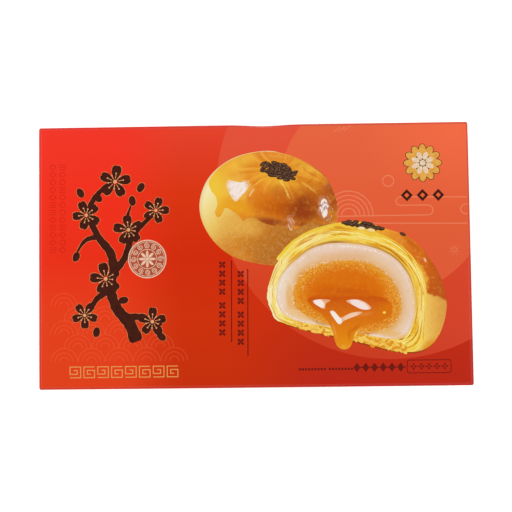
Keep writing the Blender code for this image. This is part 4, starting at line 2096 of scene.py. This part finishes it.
@dataclass
class HiddenPanels:
    """The plain print of the panels that the front hides: rules, key rows, rosettes and a table."""

    shell: Shell
    margin: float = 8.0
    rule_gap: float = 1.6
    rosette_radius: float = 11.0

    def build(self) -> None:
        """Prints the four upright panels and the back panel."""
        long, wide, deep = (x / MM / 2 for x in (self.shell.length, self.shell.width, self.shell.depth))
        for panel, half_length, starts, count, size in (
            (Panel.LOWER_SIDE, long, (-86.6, 16.6), 5, 10.0),
            (Panel.UPPER_SIDE, long, (-86.6, 16.6), 5, 10.0),
            (Panel.LEFT_END, wide, (-51.0, 19.0), 3, 8.0),
            (Panel.RIGHT_END, wide, (-51.0, 19.0), 3, 8.0),
        ):
            ornaments = Ornaments(self.shell, panel)
            self.double_rules(ornaments, half_length - self.margin, deep - self.margin)
            ornaments.key_rows([(x, 0) for x in starts], count, size, 1.5 * size)
            ornaments.rosette((0, 0), self.rosette_radius)
        back = Ornaments(self.shell, Panel.BACK)
        self.double_rules(back, long - self.margin, wide - self.margin)
        back.roundel((56, 0), 24.0)
        self.table(back, (-88, -44), (-6, 44))

    def double_rules(self, ornaments: Ornaments, half_length: float, half_height: float) -> None:
        """Prints two gold rules along the panel's upper edge and two along its lower edge."""
        heights = [side * (half_height - step) for side in (-1, 1) for step in (0, self.rule_gap)]
        ornaments.rules([((-half_length, y), (half_length, y)) for y in heights], 0.5)

    def table(self, ornaments: Ornaments, low: Point, high: Point, rows: int = 8) -> None:
        """Prints an empty ruled table on a cream field.

        Args:
            ornaments: The ornaments of the panel that carries it.
            low: The field's lowest corner.
            high: Its highest corner.
            rows: The number of rows.
        """
        field = ornaments.layer("table_field", 1)
        field.cut(rectangle(low, high))
        field.laid(Ink.CREAM.value)
        inner = [(low[0] + 3, high[0] - 3), (low[1] + 3, high[1] - 3)]
        lines = []
        for k in range(rows + 1):
            y = inner[1][0] + (inner[1][1] - inner[1][0]) * k / rows
            lines.append(((inner[0][0], y), (inner[0][1], y)))
        for x in (*inner[0], inner[0][0] + 26):
            lines.append(((x, inner[1][0]), (x, inner[1][1])))
        ornaments.rules(lines, 0.4, Ink.WINE)


@dataclass
class Studio:
    """A pale table, a soft light on each of the four sides, and the camera above the front panel."""

    camera_place: Sequence[float] = (0.00545, -0.01455, 0.4112)
    camera_turn_deg: Sequence[float] = (2.239, 0.737, -0.725)
    lens_mm: float = 50.0
    light_size: float = 0.5
    world: str = "ffffff"
    world_strength: float = 0.05
    table_size: float = 6.0
    table_glow: float = 0.4

    LIGHTS = (
        ("left_softbox", (-1.1, 0.1, 0.75), 10.2),
        ("right_softbox", (1.1, -0.1, 0.75), 8.8),
        ("front_softbox", (0.0, -1.1, 0.75), 6.5),
        ("back_softbox", (0.0, 1.1, 0.75), 6.5),
    )

    def build(self) -> None:
        """Sets up the table, the lights and the camera."""
        scene = bpy.context.scene
        scene.view_settings.view_transform = "Standard"
        bpy.ops.object.select_all(action="DESELECT")
        bpy.ops.object.camera_add(location=self.camera_place,
                                  rotation=[math.radians(a) for a in self.camera_turn_deg])
        scene.camera = bpy.context.object
        scene.camera.data.lens = self.lens_mm
        scene.camera.data.clip_start = 0.01
        for name, place, power in self.LIGHTS:
            self.light(name, place, power)
        world = bpy.data.worlds.new("studio_room")
        world.use_nodes = True
        world.node_tree.nodes.clear()
        inputs = {"Color": hex_colour(self.world), "Strength": self.world_strength}
        air = add_node(world.node_tree, "ShaderNodeBackground", inputs).outputs[0]
        add_node(world.node_tree, "ShaderNodeOutputWorld", {"Surface": air})
        scene.world = world
        self.table()

    def light(self, name: str, place: Sequence[float], power: float) -> None:
        """Adds a soft light that faces the carton.

        Args:
            name: Its name.
            place: Where it stands.
            power: Its power in watts.
        """
        bpy.ops.object.light_add(type="AREA", location=place)
        lamp = bpy.context.object
        lamp.name = name
        lamp.rotation_euler = (-Vector(place)).to_track_quat("-Z", "Y").to_euler()
        lamp.data.shape = "SQUARE"
        lamp.data.size = self.light_size
        lamp.data.energy = power

    def table(self) -> None:
        """Lays a matt white table top under the carton."""
        bpy.ops.object.select_all(action="DESELECT")
        bpy.ops.mesh.primitive_plane_add(size=self.table_size, location=(0, 0, -4 * Print.LAYER))
        bpy.ops.object.transform_apply(location=True, rotation=True, scale=True)
        top = bpy.context.object
        top.name = "table_top"
        mix = Recipe("matt_white_laminate_table", "fafafa")
        mix.speckled("f4f4f4", 30, 0.4, 0.7, 0.5)
        glow = {"Emission Color": hex_colour("ffffff"), "Emission Strength": self.table_glow}
        top.data.materials.append(mix.shaded({"Roughness": 0.8, **glow}))


def main() -> None:
    """Builds the carton, its print and the studio round them."""
    logging.basicConfig(level=logging.INFO, format="%(message)s")
    shell = Shell.of_node(NODE)
    log.info("carton %.1f x %.1f x %.1f mm", shell.length / MM, shell.width / MM, shell.depth / MM)
    Studio().build()
    Carton(shell).build()
    WholePastry(shell).build()
    CutPastry(shell).build()
    BrushBranch(shell).build()
    FrontMarks(shell).build()
    CloudLines(shell).build()
    Waves(shell).build()
    HiddenPanels(shell).build()


if __name__ == "__main__":
    main()
